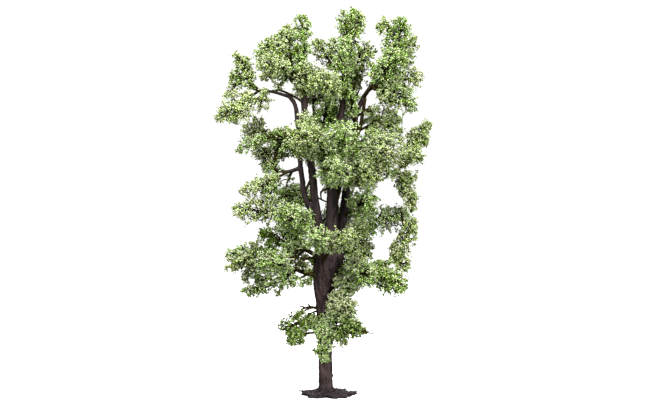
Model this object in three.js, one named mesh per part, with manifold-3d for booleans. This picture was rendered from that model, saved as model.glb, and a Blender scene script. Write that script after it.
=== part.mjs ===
// A model horse chestnut tree: a trunk, boughs and limbs moulded in dark brown plastic, flocked with leaf
// flakes, standing on its own root plate.
// Millimetres, +Z up, +X to the right and +Y to the back. The origin is the centre of the root plate's
// flat underside.
import * as THREE from "three";
import { mergeVertices } from "three/addons/utils/BufferGeometryUtils.js";
import Module from "manifold-3d";

const wasm = await Module();
wasm.setup();

// Clearance between neighbouring pieces, the finest edge that a fused piece keeps, and the grid that its
// corners round to.
const GAP = 0.3;
const FINEST_EDGE = 0.1;
const GRID = 1e-4;

// The foot of the trunk, from which every other place on the tree is measured.
const FOOT = [-1.1, 0, 0];

// The root plate: a thin, ragged disc that swells into ridges of root towards the trunk.
const PLATE = {
  radius: 13.2,
  rim: 1.2,
  shoulders: [[10.6, 1.7], [7.9, 2.2]], // out from the centre, and up
  seatRadius: 5.6,
  seatHeight: 3,
  lobes: 5,
  lobeDepth: 0.05, // of the radius
  lobeTurn: 0.7, // radians
  teeth: 11,
  toothDepth: 0.06, // of the radius
  ridges: 9,
  ridgeHeight: 0.7,
  ridgeTwist: 2, // radians from seat to rim
  sides: 30,
};

// The trunk: a slim bole on a short root flare, which swells again where the boughs part.
const TRUNK = {
  axis: [
    [0, 0, PLATE.seatHeight],
    [-0.5, 0, 22],
    [-1.2, 0, 44],
    [-0.2, 0.4, 60],
  ],
  bole: 3.2,
  flare: 1.9,
  flareHeight: 1.3,
  crownSwell: 2.9,
  swellFrom: 0.66,
  flutes: 5,
  fluteDepth: 0.07,
  facets: { sides: 15, steps: 9, upright: true },
};

// The boughs part from the head of the trunk, the outer one from the left one, and taper to their tips.
const BOUGHS = [
  {
    name: "bough_centre",
    path: [[0.8, -1.6, 57], [2.9, -1, 84], [3.8, 0, 113], [7.8, 2, 140], [10.4, 2, 162]],
    foot: 4.2,
    tip: 0.9,
  },
  {
    name: "bough_left",
    path: [
      [-3.2, -0.4, 57], [-3.7, -1, 83], [-5.5, -1.5, 96],
      [-6.9, -2, 110.5], [-10.2, -2, 134], [-11, -1, 158],
    ],
    foot: 2.3,
    tip: 1.4,
  },
  {
    name: "bough_right",
    path: [
      [4.8, 0.4, 57], [7.6, 2, 82], [9.6, 3, 96], [10.8, 4, 108],
      [14.4, 5, 129], [14.9, 5, 138], [19.8, 5, 148.4], [24.4, 4, 153.8],
    ],
    foot: 2.9,
    tip: 1,
  },
  {
    name: "bough_back",
    path: [[1.2, 3.4, 57], [3.2, 9, 84], [3.4, 15, 104], [-2, 20, 122], [-6, 22, 140]],
    foot: 2.4,
    tip: 0.9,
  },
  {
    name: "bough_outer_left",
    path: [
      [-4.2, -1.2, 85.5], [-8, -3, 92], [-10.7, -3, 98.5], [-11.4, -3, 105],
      [-12.4, -2.8, 112], [-14.5, -2.2, 139.5], [-17.6, -2, 146],
    ],
    foot: 1.5,
    tip: 1,
  },
];

const BOUGH_FACETS = { sides: 8, steps: 9 };

// The side limbs leave a bough or the trunk at a share of its length, and arch by their lift.
const LIMBS = [
  {
    name: "limb_outer_left",
    from: "bough_outer_left", at: 1, to: [-35, 2, 150], lift: 1.5, foot: 1, tip: 0.8,
  },
  {
    name: "limb_left_mid",
    from: "bough_outer_left", at: 0.445, to: [-24.5, -2, 110.5], lift: -3, foot: 1.1, tip: 0.7,
  },
  {
    name: "limb_left_low",
    from: "trunk", at: 0.96, to: [-17, -2, 62.5], lift: -1, foot: 1.5, tip: 0.8,
  },
  {
    name: "limb_right_far",
    from: "bough_right", at: 0.53, to: [35.5, 3, 109.5], lift: 2, foot: 1.2, tip: 0.6,
  },
  {
    name: "limb_right_low",
    from: "trunk", at: 0.97, to: [25, 1, 61.5], lift: 3, foot: 1.6, tip: 0.7,
  },
];

const LIMB_FACETS = { sides: 6, steps: 5 };

// How soon a limb or a stem thins along its length: 1 is even, and less is sooner.
const TAPER = 0.8;

// The masses of foliage, by the limb that each one's stem leaves at a share of its length. A stem may fork,
// and a spindle of flock, wide and tall by these radii, wraps each branch beyond its bare share.
const MASSES = {
  trunk: [
    { name: "low_front", at: 0.97, tip: [-5, -29, 78.6], wide: 8, tall: 4.4, lift: 7 },
    { name: "low_right", at: 0.88, tip: [9.8, -7, 45], wide: 6, tall: 8 },
    { name: "skirt_right", at: 0.52, tip: [12.2, -4, 33], wide: 6.4, tall: 7 },
    { name: "skirt_left", at: 0.58, tip: [-17.2, 2, 31.5], wide: 5.4, tall: 6.6 },
    { name: "skirt_front", at: 0.72, tip: [-0.6, -5.5, 21], wide: 4.4, tall: 4 },
  ],
  bough_left: [
    { name: "upper_left_peak", at: 1, tip: [-11.6, -1, 182], wide: 4.8, tall: 5 },
    {
      name: "upper_left_shoulder",
      at: 0.93, tip: [-29.3, 7, 168.5], wide: 7, tall: 6.5,
      forks: [[-19.5, 3, 176.8]],
    },
    { name: "upper_left_apron", at: 0.97, tip: [-28.3, -13, 161], wide: 6, tall: 4.8, bare: 0.45 },
    { name: "left_knot", at: 0.73, tip: [-9.5, -12, 133.5], wide: 5.5, tall: 5.5 },
    { name: "mid_left_front", at: 0.6, tip: [-9.3, -29, 124.5], wide: 8.8, tall: 7 },
    { name: "left_inner_back", at: 0.37, tip: [-21, 24, 98], wide: 7.5, tall: 4.8 },
    { name: "left_mid", at: 0.3, tip: [-40.6, -11, 90.5], wide: 5, tall: 6 },
    { name: "left_mid_front", at: 0.23, tip: [-18, -24, 87.5], wide: 8.6, tall: 6 },
    { name: "left_shade", at: 0.1, tip: [-28.5, 19, 78], wide: 6.5, tall: 5.5, forks: [[-18, 28, 82]] },
  ],
  bough_outer_left: [
    {
      name: "mid_left_high",
      at: 0.7, tip: [-37.8, 11, 130.5], wide: 5, tall: 3.4, bare: 0.5, lift: -2,
      forks: [[-40, -8, 121.5]],
    },
  ],
  limb_outer_left: [
    { name: "left_crest", at: 1, tip: [-43, 9, 166], wide: 4.5, tall: 5, forks: [[-45.6, 3, 154]] },
    {
      name: "left_outer",
      at: 0.8, tip: [-46.6, -9, 138.5], wide: 6.2, tall: 6.6, bare: 0.1, lift: 0,
      forks: [[-32, -5, 142.5]],
    },
  ],
  bough_centre: [
    {
      name: "crown_gap",
      at: 0.9, tip: [-3.5, 11, 172.5], wide: 4.5, tall: 3.8, bare: 0.45,
      forks: [[3.5, 9, 173]],
    },
    { name: "centre_peak", at: 1, tip: [13.4, 2, 184], wide: 6.6, tall: 5.4 },
    { name: "centre_shoulder", at: 0.93, tip: [20.4, 8, 168], wide: 6.5, tall: 6.5, forks: [[15, 14, 156]] },
    { name: "centre_high", at: 0.86, tip: [-4.5, -20, 153.5], wide: 8, tall: 6.2 },
    { name: "mid_front", at: 0.56, tip: [8.3, -30, 125], wide: 8.5, tall: 8 },
    { name: "mid_band", at: 0.45, tip: [4.3, -31, 109.5], wide: 8.5, tall: 5.8 },
  ],
  bough_right: [
    {
      name: "right_peak",
      at: 1, tip: [37, -2, 180.5], wide: 5.6, tall: 6.5, lift: -5,
      forks: [[43, 8, 173.4], [27.6, 4, 179.5]],
    },
    { name: "right_shoulder", at: 0.9, tip: [33, -13, 163], wide: 7, tall: 5.5 },
    { name: "right_upper", at: 0.96, tip: [39, -7, 142.8], wide: 6, tall: 6.5, forks: [[43.4, 5, 156.5]] },
    { name: "right_upper_back", at: 0.93, tip: [33, 22, 157], wide: 7, tall: 6.5 },
    { name: "mid_band_right", at: 0.45, tip: [17.2, -19, 109], wide: 7, tall: 7, forks: [[23, -11, 108.5]] },
    { name: "right_column", at: 0.72, tip: [31.5, 15, 136.5], wide: 7.4, tall: 6.5, forks: [[22, 6, 126.5]] },
    { name: "right_inner", at: 0.3, tip: [20, -16, 95], wide: 6.2, tall: 6.8 },
    { name: "right_mid", at: 0.23, tip: [36.4, 10, 88], wide: 5.8, tall: 6, lift: 0 },
    { name: "right_shade", at: 0.12, tip: [17.3, 22, 73], wide: 7.2, tall: 6.5 },
  ],
  bough_back: [
    { name: "centre_veil", at: 0.85, tip: [1, 10, 141], wide: 6, tall: 8, forks: [[9.5, 14, 138]] },
    { name: "back_high", at: 1, tip: [-9, 27, 158], wide: 8.5, tall: 7.5, forks: [[6, 30, 150]] },
    { name: "back_left", at: 0.7, tip: [-13, 36, 126], wide: 8.5, tall: 7.5, forks: [[-25, 28, 127]] },
    { name: "back_right", at: 0.6, tip: [13, 36, 123], wide: 8.5, tall: 7.5, forks: [[26, 28, 120]] },
    {
      name: "back_low",
      at: 0.33, tip: [6.5, 36, 84], wide: 8.5, tall: 7,
      forks: [[16, 28, 93], [-12, 33, 83]],
    },
  ],
  limb_left_mid: [
    { name: "mid_left_low", at: 1, tip: [-30.5, 11, 119], wide: 6, tall: 4.6, forks: [[-20.5, 12, 126]] },
    { name: "left_lower_mid", at: 0.5, tip: [-37.5, -10, 100.5], wide: 4.8, tall: 4.4, lift: -1 },
  ],
  limb_left_low: [
    { name: "left_low", at: 1, tip: [-45, 8, 69.5], wide: 5.5, tall: 5, forks: [[-44.5, -3, 63.5]] },
    {
      name: "left_low_front",
      at: 0.6, tip: [-26, -16, 65.6], wide: 7.6, tall: 5.8, bare: 0.4,
      forks: [[-18.8, -12, 58]],
    },
    { name: "left_low_tip", at: 0.85, tip: [-37.8, 5, 50.4], wide: 4.4, tall: 4, bare: 0.42, lift: -7 },
  ],
  limb_right_far: [
    { name: "mid_right", at: 0.5, tip: [28.7, -14, 120], wide: 9.5, tall: 8.5 },
    { name: "right_point", at: 1, tip: [48.8, 8, 131], wide: 4.8, tall: 5, forks: [[44.5, -5, 117.5]] },
    { name: "right_hang_high", at: 0.9, tip: [42.4, 0, 93.5], wide: 4.4, tall: 6, lift: 8 },
  ],
  limb_right_low: [
    { name: "right_hang_low", at: 1, tip: [41.8, 1, 83.5], wide: 4.4, tall: 5.5, lift: -11, bare: 0.3 },
    { name: "right_low_front", at: 0.3, tip: [19.5, -14, 59.5], wide: 7, tall: 6.2 },
    { name: "right_low", at: 0.5, tip: [33.8, -8, 54.5], wide: 6, tall: 5 },
  ],
};

// The rule by which every mass grows: branches, a core of matted flock round each, and leaves and sprigs out
// of that.
const GROWTH = {
  seed: 1887,
  lift: 2,
  bareShare: 0.28,
  forkAt: 0.3, // of the main stem, where its forks leave
  forkBare: 0.45,
  forkSize: 0.85, // of a fork's spindle against the main one
  stemFoot: 0.8,
  stemTip: 0.45,
  stemFacets: { sides: 3, steps: 2 },
  core: 0.84, // of the spindle
  coreFacets: { sides: 4, steps: 4 },
  tuft: 0.25, // by which the core's radius varies either way
  endFullness: 0.3, // of the spindle's radius at its two ends
  overshoot: 0.55, // of the spindle past the end of its stem, in its radii
  clumpSpacing: 2.75, // along a branch, in its radii
  leavesPerClump: 4,
  reach: 1.42, // of the leaves, in radii
  leafLength: 1.22, // in radii: each leaf of the solid stands for a spray of flakes
  leafVary: 0.1, // of its length, either way
  leafWidth: 1.1, // of its length
  leafWidest: 0.58, // of its length from its root
  leafThick: 0.16, // of its length
  leafSunk: 0.35, // of its length, in its twig
  leafFaces: 12, // ways that a leaf may face
  sprigLeaf: 0.5, // of a sprig's leaves, in radii
  sprigFace: 3, // the way that a sprig's end leaf faces
  sideLeafTurn: 1.05, // radians between a twig and its side leaf
  twigFoot: 0.45,
};

const bark = new THREE.MeshStandardMaterial({ color: 0x463936, roughness: 0.7, metalness: 0 });
const rootPlate = new THREE.MeshStandardMaterial({ color: 0x3d3230, roughness: 0.75, metalness: 0 });
const foliage = new THREE.MeshStandardMaterial({ color: 0x76943f, roughness: 0.9, metalness: 0 });

// A repeatable stream of numbers from 0 to 1.
function seeded(seed) {
  let state = seed >>> 0;
  return () => {
    state = (state + 0x6d2b79f5) >>> 0;
    let mixed = Math.imul(state ^ (state >>> 15), state | 1);
    mixed ^= mixed + Math.imul(mixed ^ (mixed >>> 7), mixed | 61);
    return ((mixed ^ (mixed >>> 14)) >>> 0) / 2 ** 32;
  };
}

const vector = (place) => new THREE.Vector3(...place).add(new THREE.Vector3(...FOOT));

// A closed geometry as a solid, and a solid as a geometry.
function solidOf(geometry) {
  const bare = geometry.clone();
  bare.deleteAttribute("normal");
  bare.deleteAttribute("uv");
  const merged = mergeVertices(bare, GRID);
  return new wasm.Manifold(
    new wasm.Mesh({
      numProp: 3,
      vertProperties: merged.getAttribute("position").array,
      triVerts: new Uint32Array(merged.index.array),
    }),
  );
}

function geometryOf(solid) {
  const mesh = solid.getMesh();
  return new THREE.BufferGeometry()
    .setAttribute("position", new THREE.BufferAttribute(mesh.vertProperties, 3))
    .setIndex(new THREE.BufferAttribute(mesh.triVerts, 1));
}

// True where every edge of a solid still belongs to just two faces once its corners are rounded.
function closes(solid) {
  const { vertProperties, triVerts } = solid.getMesh();
  const places = Array.from(vertProperties, (place) => Math.round(place / GRID));
  const corner = (i) => places.slice(3 * i, 3 * i + 3).join();
  const edges = new Map();
  for (let i = 0; i < triVerts.length; i += 3) {
    const [a, b, c] = Array.from(triVerts.slice(i, i + 3), corner);
    if (a === b || b === c || c === a) continue;
    for (const ends of [[a, b], [b, c], [c, a]]) {
      const edge = ends.sort().join(" ");
      edges.set(edge, (edges.get(edge) ?? 0) + 1);
    }
  }
  return [...edges.values()].every((count) => count === 2);
}

// The largest single body of a solid: scraps are dropped, and sealed hollows are filled.
function oneBody(solid) {
  const bodies = solid.simplify(FINEST_EDGE).decompose();
  return bodies.reduce((largest, body) => (body.volume() > largest.volume() ? body : largest));
}

// A piece fused to a solid, or the solid as it was where the seam would not close.
function fused(solid, piece) {
  const whole = oneBody(solid.add(piece));
  return closes(whole) ? whole : solid;
}

// The part of a curve between two shares of its length, carried straight on past its end.
class Stretch extends THREE.Curve {
  constructor(curve, from, to) {
    super();
    Object.assign(this, { curve, from, to });
  }

  getPoint(share, target = new THREE.Vector3()) {
    const along = this.from + (this.to - this.from) * share;
    const inside = Math.min(along, 1);
    const past = (along - inside) * this.curve.getLength();
    return target.copy(this.curve.getPointAt(inside)).addScaledVector(this.curve.getTangentAt(inside), past);
  }
}

// A round bar along a curve, closed at both ends. Its radius goes by the share of its length, the way out
// from its axis and the angle round it. An upright bar keeps its rings level.
function bar(curve, radiusAt, { sides, steps, upright }) {
  const shape = new THREE.CylinderGeometry(1, 1, 1, sides, steps);
  const frames = curve.computeFrenetFrames(steps);
  const position = shape.getAttribute("position");
  for (let i = 0; i < position.count; i++) {
    const share = position.getY(i) + 0.5;
    const step = Math.round(share * steps);
    const normal = upright ? new THREE.Vector3(1, 0, 0) : frames.normals[step];
    const tangent = upright ? new THREE.Vector3(0, 0, 1) : frames.tangents[step];
    const side = new THREE.Vector3().crossVectors(normal, tangent);
    const angle = Math.atan2(position.getZ(i), position.getX(i));
    const way = normal.clone().multiplyScalar(Math.cos(angle)).addScaledVector(side, Math.sin(angle));
    const out = Math.hypot(position.getX(i), position.getZ(i)) * radiusAt(share, way, angle);
    position.setXYZ(i, ...curve.getPointAt(share).addScaledVector(way, out));
  }
  return shape;
}

// The root plate: a turned profile whose rim runs ragged and whose top rises in ridges of root to the trunk.
function rootPlateGeometry() {
  const { radius, rim, shoulders, seatRadius, seatHeight } = PLATE;
  const { lobes, lobeDepth, lobeTurn, teeth, toothDepth, ridges, ridgeHeight, ridgeTwist } = PLATE;
  const underside = [[0, 0], [radius, 0]];
  const top = [[radius, rim], ...shoulders, [seatRadius, seatHeight], [0, seatHeight]];
  const profile = [...underside, ...top].map(([across, up]) => new THREE.Vector2(across, up));
  const shape = new THREE.LatheGeometry(profile, PLATE.sides).rotateX(Math.PI / 2);
  const position = shape.getAttribute("position");
  for (let i = 0; i < position.count; i++) {
    const [x, y, z] = [position.getX(i), position.getY(i), position.getZ(i)];
    const out = Math.hypot(x, y);
    const angle = Math.atan2(y, x);
    const past = THREE.MathUtils.clamp((out - seatRadius) / (radius - seatRadius), 0, 1);
    const wave = lobeDepth * Math.sin(lobes * angle + lobeTurn) + toothDepth * Math.sin(teeth * angle);
    const ragged = 1 + past * wave;
    const ridge = ridgeHeight * Math.sin(Math.PI * past) * Math.sin(ridges * angle + ridgeTwist * past);
    position.setXYZ(i, x * ragged + FOOT[0] * (1 - past), y * ragged, z > 0 ? z + ridge : z);
  }
  return shape;
}

// The trunk's radius: root flare at the foot, plain bole, and a fluted swelling under the boughs.
function trunkRadius(share, way, angle) {
  const { bole, flare, flareHeight, crownSwell, swellFrom, flutes, fluteDepth, axis } = TRUNK;
  const height = share * (axis.at(-1)[2] - axis[0][2]);
  const foot = flare * Math.exp(-height / flareHeight);
  const swell = crownSwell * THREE.MathUtils.smoothstep(share, swellFrom, 1);
  const flute = 1 + fluteDepth * Math.cos(flutes * angle) * (foot + swell + 1);
  return bole * flute + foot + swell;
}

// Every limb by name: its curve, its solid, and a solid fatter by the clearance that cuts its neighbours.
const wood = new Map();

function addWood(name, curve, radiusAt, facets) {
  const make = (extra) => solidOf(bar(curve, (...place) => radiusAt(...place) + extra, facets));
  wood.set(name, { curve, fat: make(GAP), solid: make(0) });
}

const tapered = (foot, tip) => (share) => foot + (tip - foot) * share ** TAPER;

// A limb starts on the axis of the one it leaves, so each is cut clear of that one and of those before it.
function cutClear(name) {
  const limb = wood.get(name);
  for (const [other, { fat }] of wood) {
    if (other === name) break;
    limb.solid = limb.solid.subtract(fat);
  }
  limb.solid = oneBody(limb.solid);
}

function arched(start, tip, lift) {
  const middle = start.clone().lerp(tip, 0.5);
  middle.z += lift;
  return new THREE.QuadraticBezierCurve3(start, middle, tip);
}

// Where a limb or a stem starts: on the axis of the one it leaves, or just clear of its tip.
function startOn(name, at) {
  const { curve } = wood.get(name);
  const start = curve.getPointAt(at);
  return at === 1 ? start.addScaledVector(curve.getTangentAt(1), GAP) : start;
}

function growWood() {
  const axis = new THREE.CatmullRomCurve3(TRUNK.axis.map(vector), false, "catmullrom");
  addWood("trunk", axis, trunkRadius, TRUNK.facets);
  for (const bough of BOUGHS) {
    const curve = new THREE.CatmullRomCurve3(bough.path.map(vector), false, "catmullrom");
    addWood(bough.name, curve, tapered(bough.foot, bough.tip), BOUGH_FACETS);
    cutClear(bough.name);
  }
  for (const limb of LIMBS) {
    const curve = arched(startOn(limb.from, limb.at), vector(limb.to), limb.lift);
    addWood(limb.name, curve, tapered(limb.foot, limb.tip), LIMB_FACETS);
    cutClear(limb.name);
  }
}

// The branches of a mass, each with its curve, the size of its spindle and the tufts of its core.
function branchesOf(mass, limb, random) {
  const main = arched(startOn(limb, mass.at), vector(mass.tip), mass.lift ?? GROWTH.lift);
  const foot = main.getPointAt(GROWTH.forkAt);
  const forks = (mass.forks ?? []).map((tip) => arched(foot, vector(tip), GROWTH.lift));
  return [main, ...forks].map((curve, i) => {
    const size = i === 0 ? 1 : GROWTH.forkSize;
    const corners = (GROWTH.coreFacets.steps + 1) * GROWTH.coreFacets.sides;
    return {
      curve,
      main: i === 0,
      bare: i === 0 ? mass.bare ?? GROWTH.bareShare : GROWTH.forkBare,
      wide: mass.wide * size,
      tall: mass.tall * size,
      tufts: Array.from({ length: corners }, () => 1 + GROWTH.tuft * (2 * random() - 1)),
    };
  });
}

// How full a spindle is along its length.
function fullness(share) {
  return THREE.MathUtils.lerp(GROWTH.endFullness, 1, Math.sqrt(Math.sin(Math.PI * share)));
}

function stemSolid(branch, extra) {
  const slim = tapered(GROWTH.stemFoot, GROWTH.stemTip);
  return solidOf(bar(branch.curve, (share) => slim(share) + extra, GROWTH.stemFacets));
}

// The core of matted flock round a branch, with a tufted surface.
function coreSolid(branch, extra) {
  const { core, coreFacets, overshoot } = GROWTH;
  const { sides, steps } = coreFacets;
  const past = (overshoot * branch.wide) / branch.curve.getLength();
  const radiusAt = (share, way, angle) => {
    const radius = Math.hypot(branch.wide * Math.hypot(way.x, way.y), branch.tall * way.z);
    const side = (Math.round((angle / (2 * Math.PI)) * sides) + sides) % sides;
    const tuft = branch.tufts[Math.round(share * steps) * sides + side];
    return core * radius * fullness(share) * tuft + extra;
  };
  return solidOf(bar(new Stretch(branch.curve, branch.bare, 1 + past), radiusAt, coreFacets));
}

// The clumps of a branch, in a row along it: a heart and a radius each way.
function clumpsOf(branch) {
  const leafy = branch.curve.getLength() * (1 - branch.bare);
  const count = Math.max(1, Math.round(leafy / (branch.wide * GROWTH.clumpSpacing)));
  return Array.from({ length: count }, (_, i) => {
    const at = branch.bare + (1 - branch.bare) * ((i + 1) / count);
    return {
      heart: branch.curve.getPointAt(at),
      foot: branch.curve.getPointAt(at - 0.5 * (at - branch.bare)),
      radii: new THREE.Vector3(branch.wide, branch.wide, branch.tall),
      end: branch.main && i === count - 1,
    };
  });
}

// A direction out of a clump: even steps round a sphere, turned by the clump's own spin.
function wayOut(index, count, spin) {
  const up = 1 - (2 * (index + 0.5)) / count;
  const angle = index * Math.PI * (3 - Math.sqrt(5)) + spin;
  const out = Math.sqrt(1 - up * up);
  return new THREE.Vector3(out * Math.cos(angle), out * Math.sin(angle), up);
}

// A three-sided twig that tapers from its foot to nothing.
function twig(from, to) {
  const length = from.distanceTo(to);
  const shape = new THREE.ConeGeometry(GROWTH.twigFoot, length, 3).translate(0, length / 2, 0);
  const way = to.clone().sub(from).normalize();
  const turn = new THREE.Quaternion().setFromUnitVectors(new THREE.Vector3(0, 1, 0), way);
  return solidOf(shape.applyQuaternion(turn).translate(...from));
}

// A leaf of eight faces, widest past its middle, with its root at one end.
function leaf(root, way, face, length) {
  const shape = new THREE.OctahedronGeometry(1);
  const position = shape.getAttribute("position");
  for (let i = 0; i < position.count; i++) {
    const along = position.getX(i) === 0 ? GROWTH.leafWidest : (position.getX(i) + 1) / 2;
    const across = position.getY(i) * 0.5 * GROWTH.leafWidth;
    position.setXYZ(i, along * length, across * length, position.getZ(i) * 0.5 * GROWTH.leafThick * length);
  }
  const across = new THREE.Vector3().crossVectors(face, way).normalize();
  const upright = new THREE.Vector3().crossVectors(way, across);
  const place = new THREE.Matrix4().makeBasis(way, across, upright).setPosition(root);
  return solidOf(shape.applyMatrix4(place));
}

// A twig from a branch to the rim of its clump, with an end leaf and a side leaf.
function sprig(foot, rim, face, length) {
  const outward = rim.clone().sub(foot).normalize();
  const root = rim.clone().addScaledVector(outward, -length);
  const turn = new THREE.Vector3().crossVectors(outward, face).normalize();
  const sideways = outward.clone().applyAxisAngle(turn, GROWTH.sideLeafTurn);
  const sideRoot = root.clone().addScaledVector(sideways, -GROWTH.leafSunk * length);
  return [
    twig(foot, root.clone().addScaledVector(outward, GROWTH.leafSunk * length)),
    leaf(root, outward, face, length),
    leaf(sideRoot, sideways, outward, length),
  ];
}

// What a clump would grow: leaves out of the core to all sides, and a sprig where the main branch ends.
function growthOf(clump, random) {
  const spin = random() * 2 * Math.PI;
  const count = GROWTH.leavesPerClump;
  const growth = Array.from({ length: count }, (_, i) => {
    const outward = wayOut(i, count, spin);
    const rim = clump.heart.clone().addScaledVector(outward.clone().multiply(clump.radii), GROWTH.reach);
    const face = wayOut(Math.floor(random() * GROWTH.leafFaces), GROWTH.leafFaces, spin + i);
    const length = GROWTH.leafLength * clump.radii.x * (1 + GROWTH.leafVary * (2 * random() - 1));
    const way = rim.clone().sub(clump.heart).normalize();
    return leaf(rim.addScaledVector(way, -length), way, face, length);
  });
  if (!clump.end) return growth;
  const onward = clump.heart.clone().sub(clump.foot).normalize();
  const rim = clump.heart.clone().addScaledVector(onward.clone().multiply(clump.radii), GROWTH.reach);
  const face = wayOut(GROWTH.sprigFace, GROWTH.leafFaces, spin);
  return [...growth, ...sprig(clump.foot, rim, face, GROWTH.sprigLeaf * clump.radii.x)];
}

// True where a piece keeps its clearance to every solid of a list.
function clearOf(piece, others) {
  return others.every((other) => piece.minGap(other, 2 * GAP) >= GAP);
}

// A mass before it grows: its stems and cores, and both again fatter by the clearance.
function startMass(mass, limb, random) {
  const branches = branchesOf(mass, limb, random);
  const joined = (make, extra) => wasm.Manifold.union(branches.map((branch) => make(branch, extra)));
  return {
    name: `foliage_${mass.name}`,
    branches,
    stems: joined(stemSolid, 0),
    fatStems: joined(stemSolid, GAP),
    core: joined(coreSolid, 0),
    fatCore: joined(coreSolid, GAP),
  };
}

// A mass keeps to its own space: its core is cut clear of the wood, other stems and the cores before it.
function settle(mass, place, masses) {
  for (const { fat } of wood.values()) {
    mass.stems = mass.stems.subtract(fat);
    mass.core = mass.core.subtract(fat);
  }
  masses.forEach((other, i) => {
    if (other === mass) return;
    mass.core = mass.core.subtract(other.fatStems);
    if (i < place) mass.core = mass.core.subtract(other.fatCore);
    if (mass.stems.minGap(other.stems, GAP) < GAP) throw new Error(`${mass.name} meets ${other.name}`);
  });
  mass.solid = oneBody(mass.core.add(mass.stems));
}

// Leaves and sprigs grow on a mass, and a piece that would touch a limb or another mass is skipped.
function growLeaves(mass, masses, random) {
  const others = masses.filter((one) => one !== mass).map((one) => one.solid);
  const neighbours = [...[...wood.values()].map((limb) => limb.solid), ...others];
  for (const clump of mass.branches.flatMap(clumpsOf)) {
    for (const piece of growthOf(clump, random)) {
      if (clearOf(piece, neighbours)) mass.solid = fused(mass.solid, piece);
    }
  }
}

function growFoliage() {
  const random = seeded(GROWTH.seed);
  const onLimb = ([limb, rows]) => rows.map((row) => startMass(row, limb, random));
  const masses = Object.entries(MASSES).flatMap(onLimb);
  masses.forEach(settle);
  masses.forEach((mass) => growLeaves(mass, masses, random));
  return masses;
}

function named(name, geometry, material) {
  const mesh = new THREE.Mesh(geometry, material);
  mesh.name = name;
  return mesh;
}

growWood();
const tree = new THREE.Group();
tree.add(named("root_plate", rootPlateGeometry(), rootPlate));
for (const [name, { solid }] of wood) tree.add(named(name, geometryOf(solid), bark));
for (const { name, solid } of growFoliage()) tree.add(named(name, geometryOf(solid), foliage));

export default tree;
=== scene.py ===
"""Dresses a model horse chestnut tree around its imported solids.

The trunk, boughs and limbs become one moulding with the bark's relief, and the base a ragged plate of
roots. Each mass of foliage grows on from its limb as side branches, twigs and flocked leaf flakes.
"""

import logging
import math
from dataclasses import dataclass, field
from enum import Enum
from itertools import pairwise
from typing import Any, Callable, Sequence
from zlib import crc32

import bmesh
import bpy
import numpy as np
from mathutils import Matrix, Vector, noise
from mathutils.kdtree import KDTree


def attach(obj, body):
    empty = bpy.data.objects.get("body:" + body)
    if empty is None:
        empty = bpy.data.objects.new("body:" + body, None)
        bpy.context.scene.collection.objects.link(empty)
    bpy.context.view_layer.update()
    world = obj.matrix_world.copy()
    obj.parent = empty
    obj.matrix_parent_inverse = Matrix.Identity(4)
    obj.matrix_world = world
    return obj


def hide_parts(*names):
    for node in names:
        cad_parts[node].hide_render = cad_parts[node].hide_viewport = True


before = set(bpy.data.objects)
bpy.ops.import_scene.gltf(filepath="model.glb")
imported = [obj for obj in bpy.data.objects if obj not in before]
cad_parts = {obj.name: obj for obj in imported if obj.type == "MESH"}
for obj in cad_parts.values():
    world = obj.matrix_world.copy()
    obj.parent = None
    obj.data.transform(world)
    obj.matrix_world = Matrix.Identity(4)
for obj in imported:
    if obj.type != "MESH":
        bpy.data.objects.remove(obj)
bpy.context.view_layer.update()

LOG = logging.getLogger("model_tree")

Place = tuple[float, float, float]
RadiusAt = Callable[[np.ndarray], np.ndarray]

# Sizes are in millimetres, and Blender's in metres.
MM = 0.001
GOLDEN_ANGLE = math.pi * (3 - math.sqrt(5))
UP = np.array([0.0, 0.0, 1.0])
ASIDE = np.array([1.0, 0.0, 0.0])

# How upright a bar is, from 0 to 1, before its corners are set out from ASIDE and not from UP.
STEEP = 0.8
# Flakes are tested against the wood in this many lots, to save memory.
BLOCKS = 24

# The foot of the trunk, from which every other place on the tree is measured.
FOOT = np.array([-1.1, 0.0, 0.0])


def unit(vectors: np.ndarray) -> np.ndarray:
    """Vectors of the same directions and of length 1."""
    lengths = np.linalg.norm(vectors, axis=-1, keepdims=True)
    return vectors / np.maximum(lengths, 1e-9)


def on_tree(place: Place) -> np.ndarray:
    """A place that is measured from the trunk's foot, in the part's own frame."""
    return np.array(place) + FOOT


@dataclass
class Curve:
    """A line through space that is read by the share of its length.

    Attributes:
        points: Places along it, close together.
        run: The length from its start to each of them.
    """

    points: np.ndarray
    run: np.ndarray = field(init=False)

    def __post_init__(self) -> None:
        """Measures the curve."""
        steps = np.linalg.norm(np.diff(self.points, axis=0), axis=1)
        self.run = np.concatenate([[0.0], np.cumsum(steps)])

    @property
    def length(self) -> float:
        """The whole length."""
        return float(self.run[-1])

    def at(self, shares: np.ndarray) -> np.ndarray:
        """Places on the curve, carried straight on past its end.

        Args:
            shares: Shares of the length, past 1 beyond the end.

        Returns:
            One place for each share.
        """
        along = np.clip(shares, 0, 1) * self.length
        inside = np.stack([np.interp(along, self.run, axis) for axis in self.points.T], axis=-1)
        past = (np.maximum(shares, 1) - 1) * self.length
        return inside + past[..., None] * unit(self.points[-1] - self.points[-2])

    def tangents(self, shares: np.ndarray) -> np.ndarray:
        """The curve's directions at some shares of its length."""
        step = 0.01
        inside = np.minimum(shares, 1)
        return unit(self.at(inside + step) - self.at(np.maximum(inside - step, 0)))

    def frames(self, shares: np.ndarray) -> tuple[np.ndarray, np.ndarray, np.ndarray]:
        """Axes that ride along the curve without twisting.

        Args:
            shares: Shares of the length, in rising order.

        Returns:
            Two ways across the curve and one along it, at each share.
        """
        tangents = self.tangents(shares)
        first = np.eye(3)[np.argmin(np.abs(tangents[0]))]
        normal = unit(np.cross(tangents[0], first))
        normals = np.empty_like(tangents)
        for i, tangent in enumerate(tangents):
            normal = unit(normal - tangent * (normal @ tangent))
            normals[i] = normal
        return normals, np.cross(tangents, normals), tangents


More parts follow.
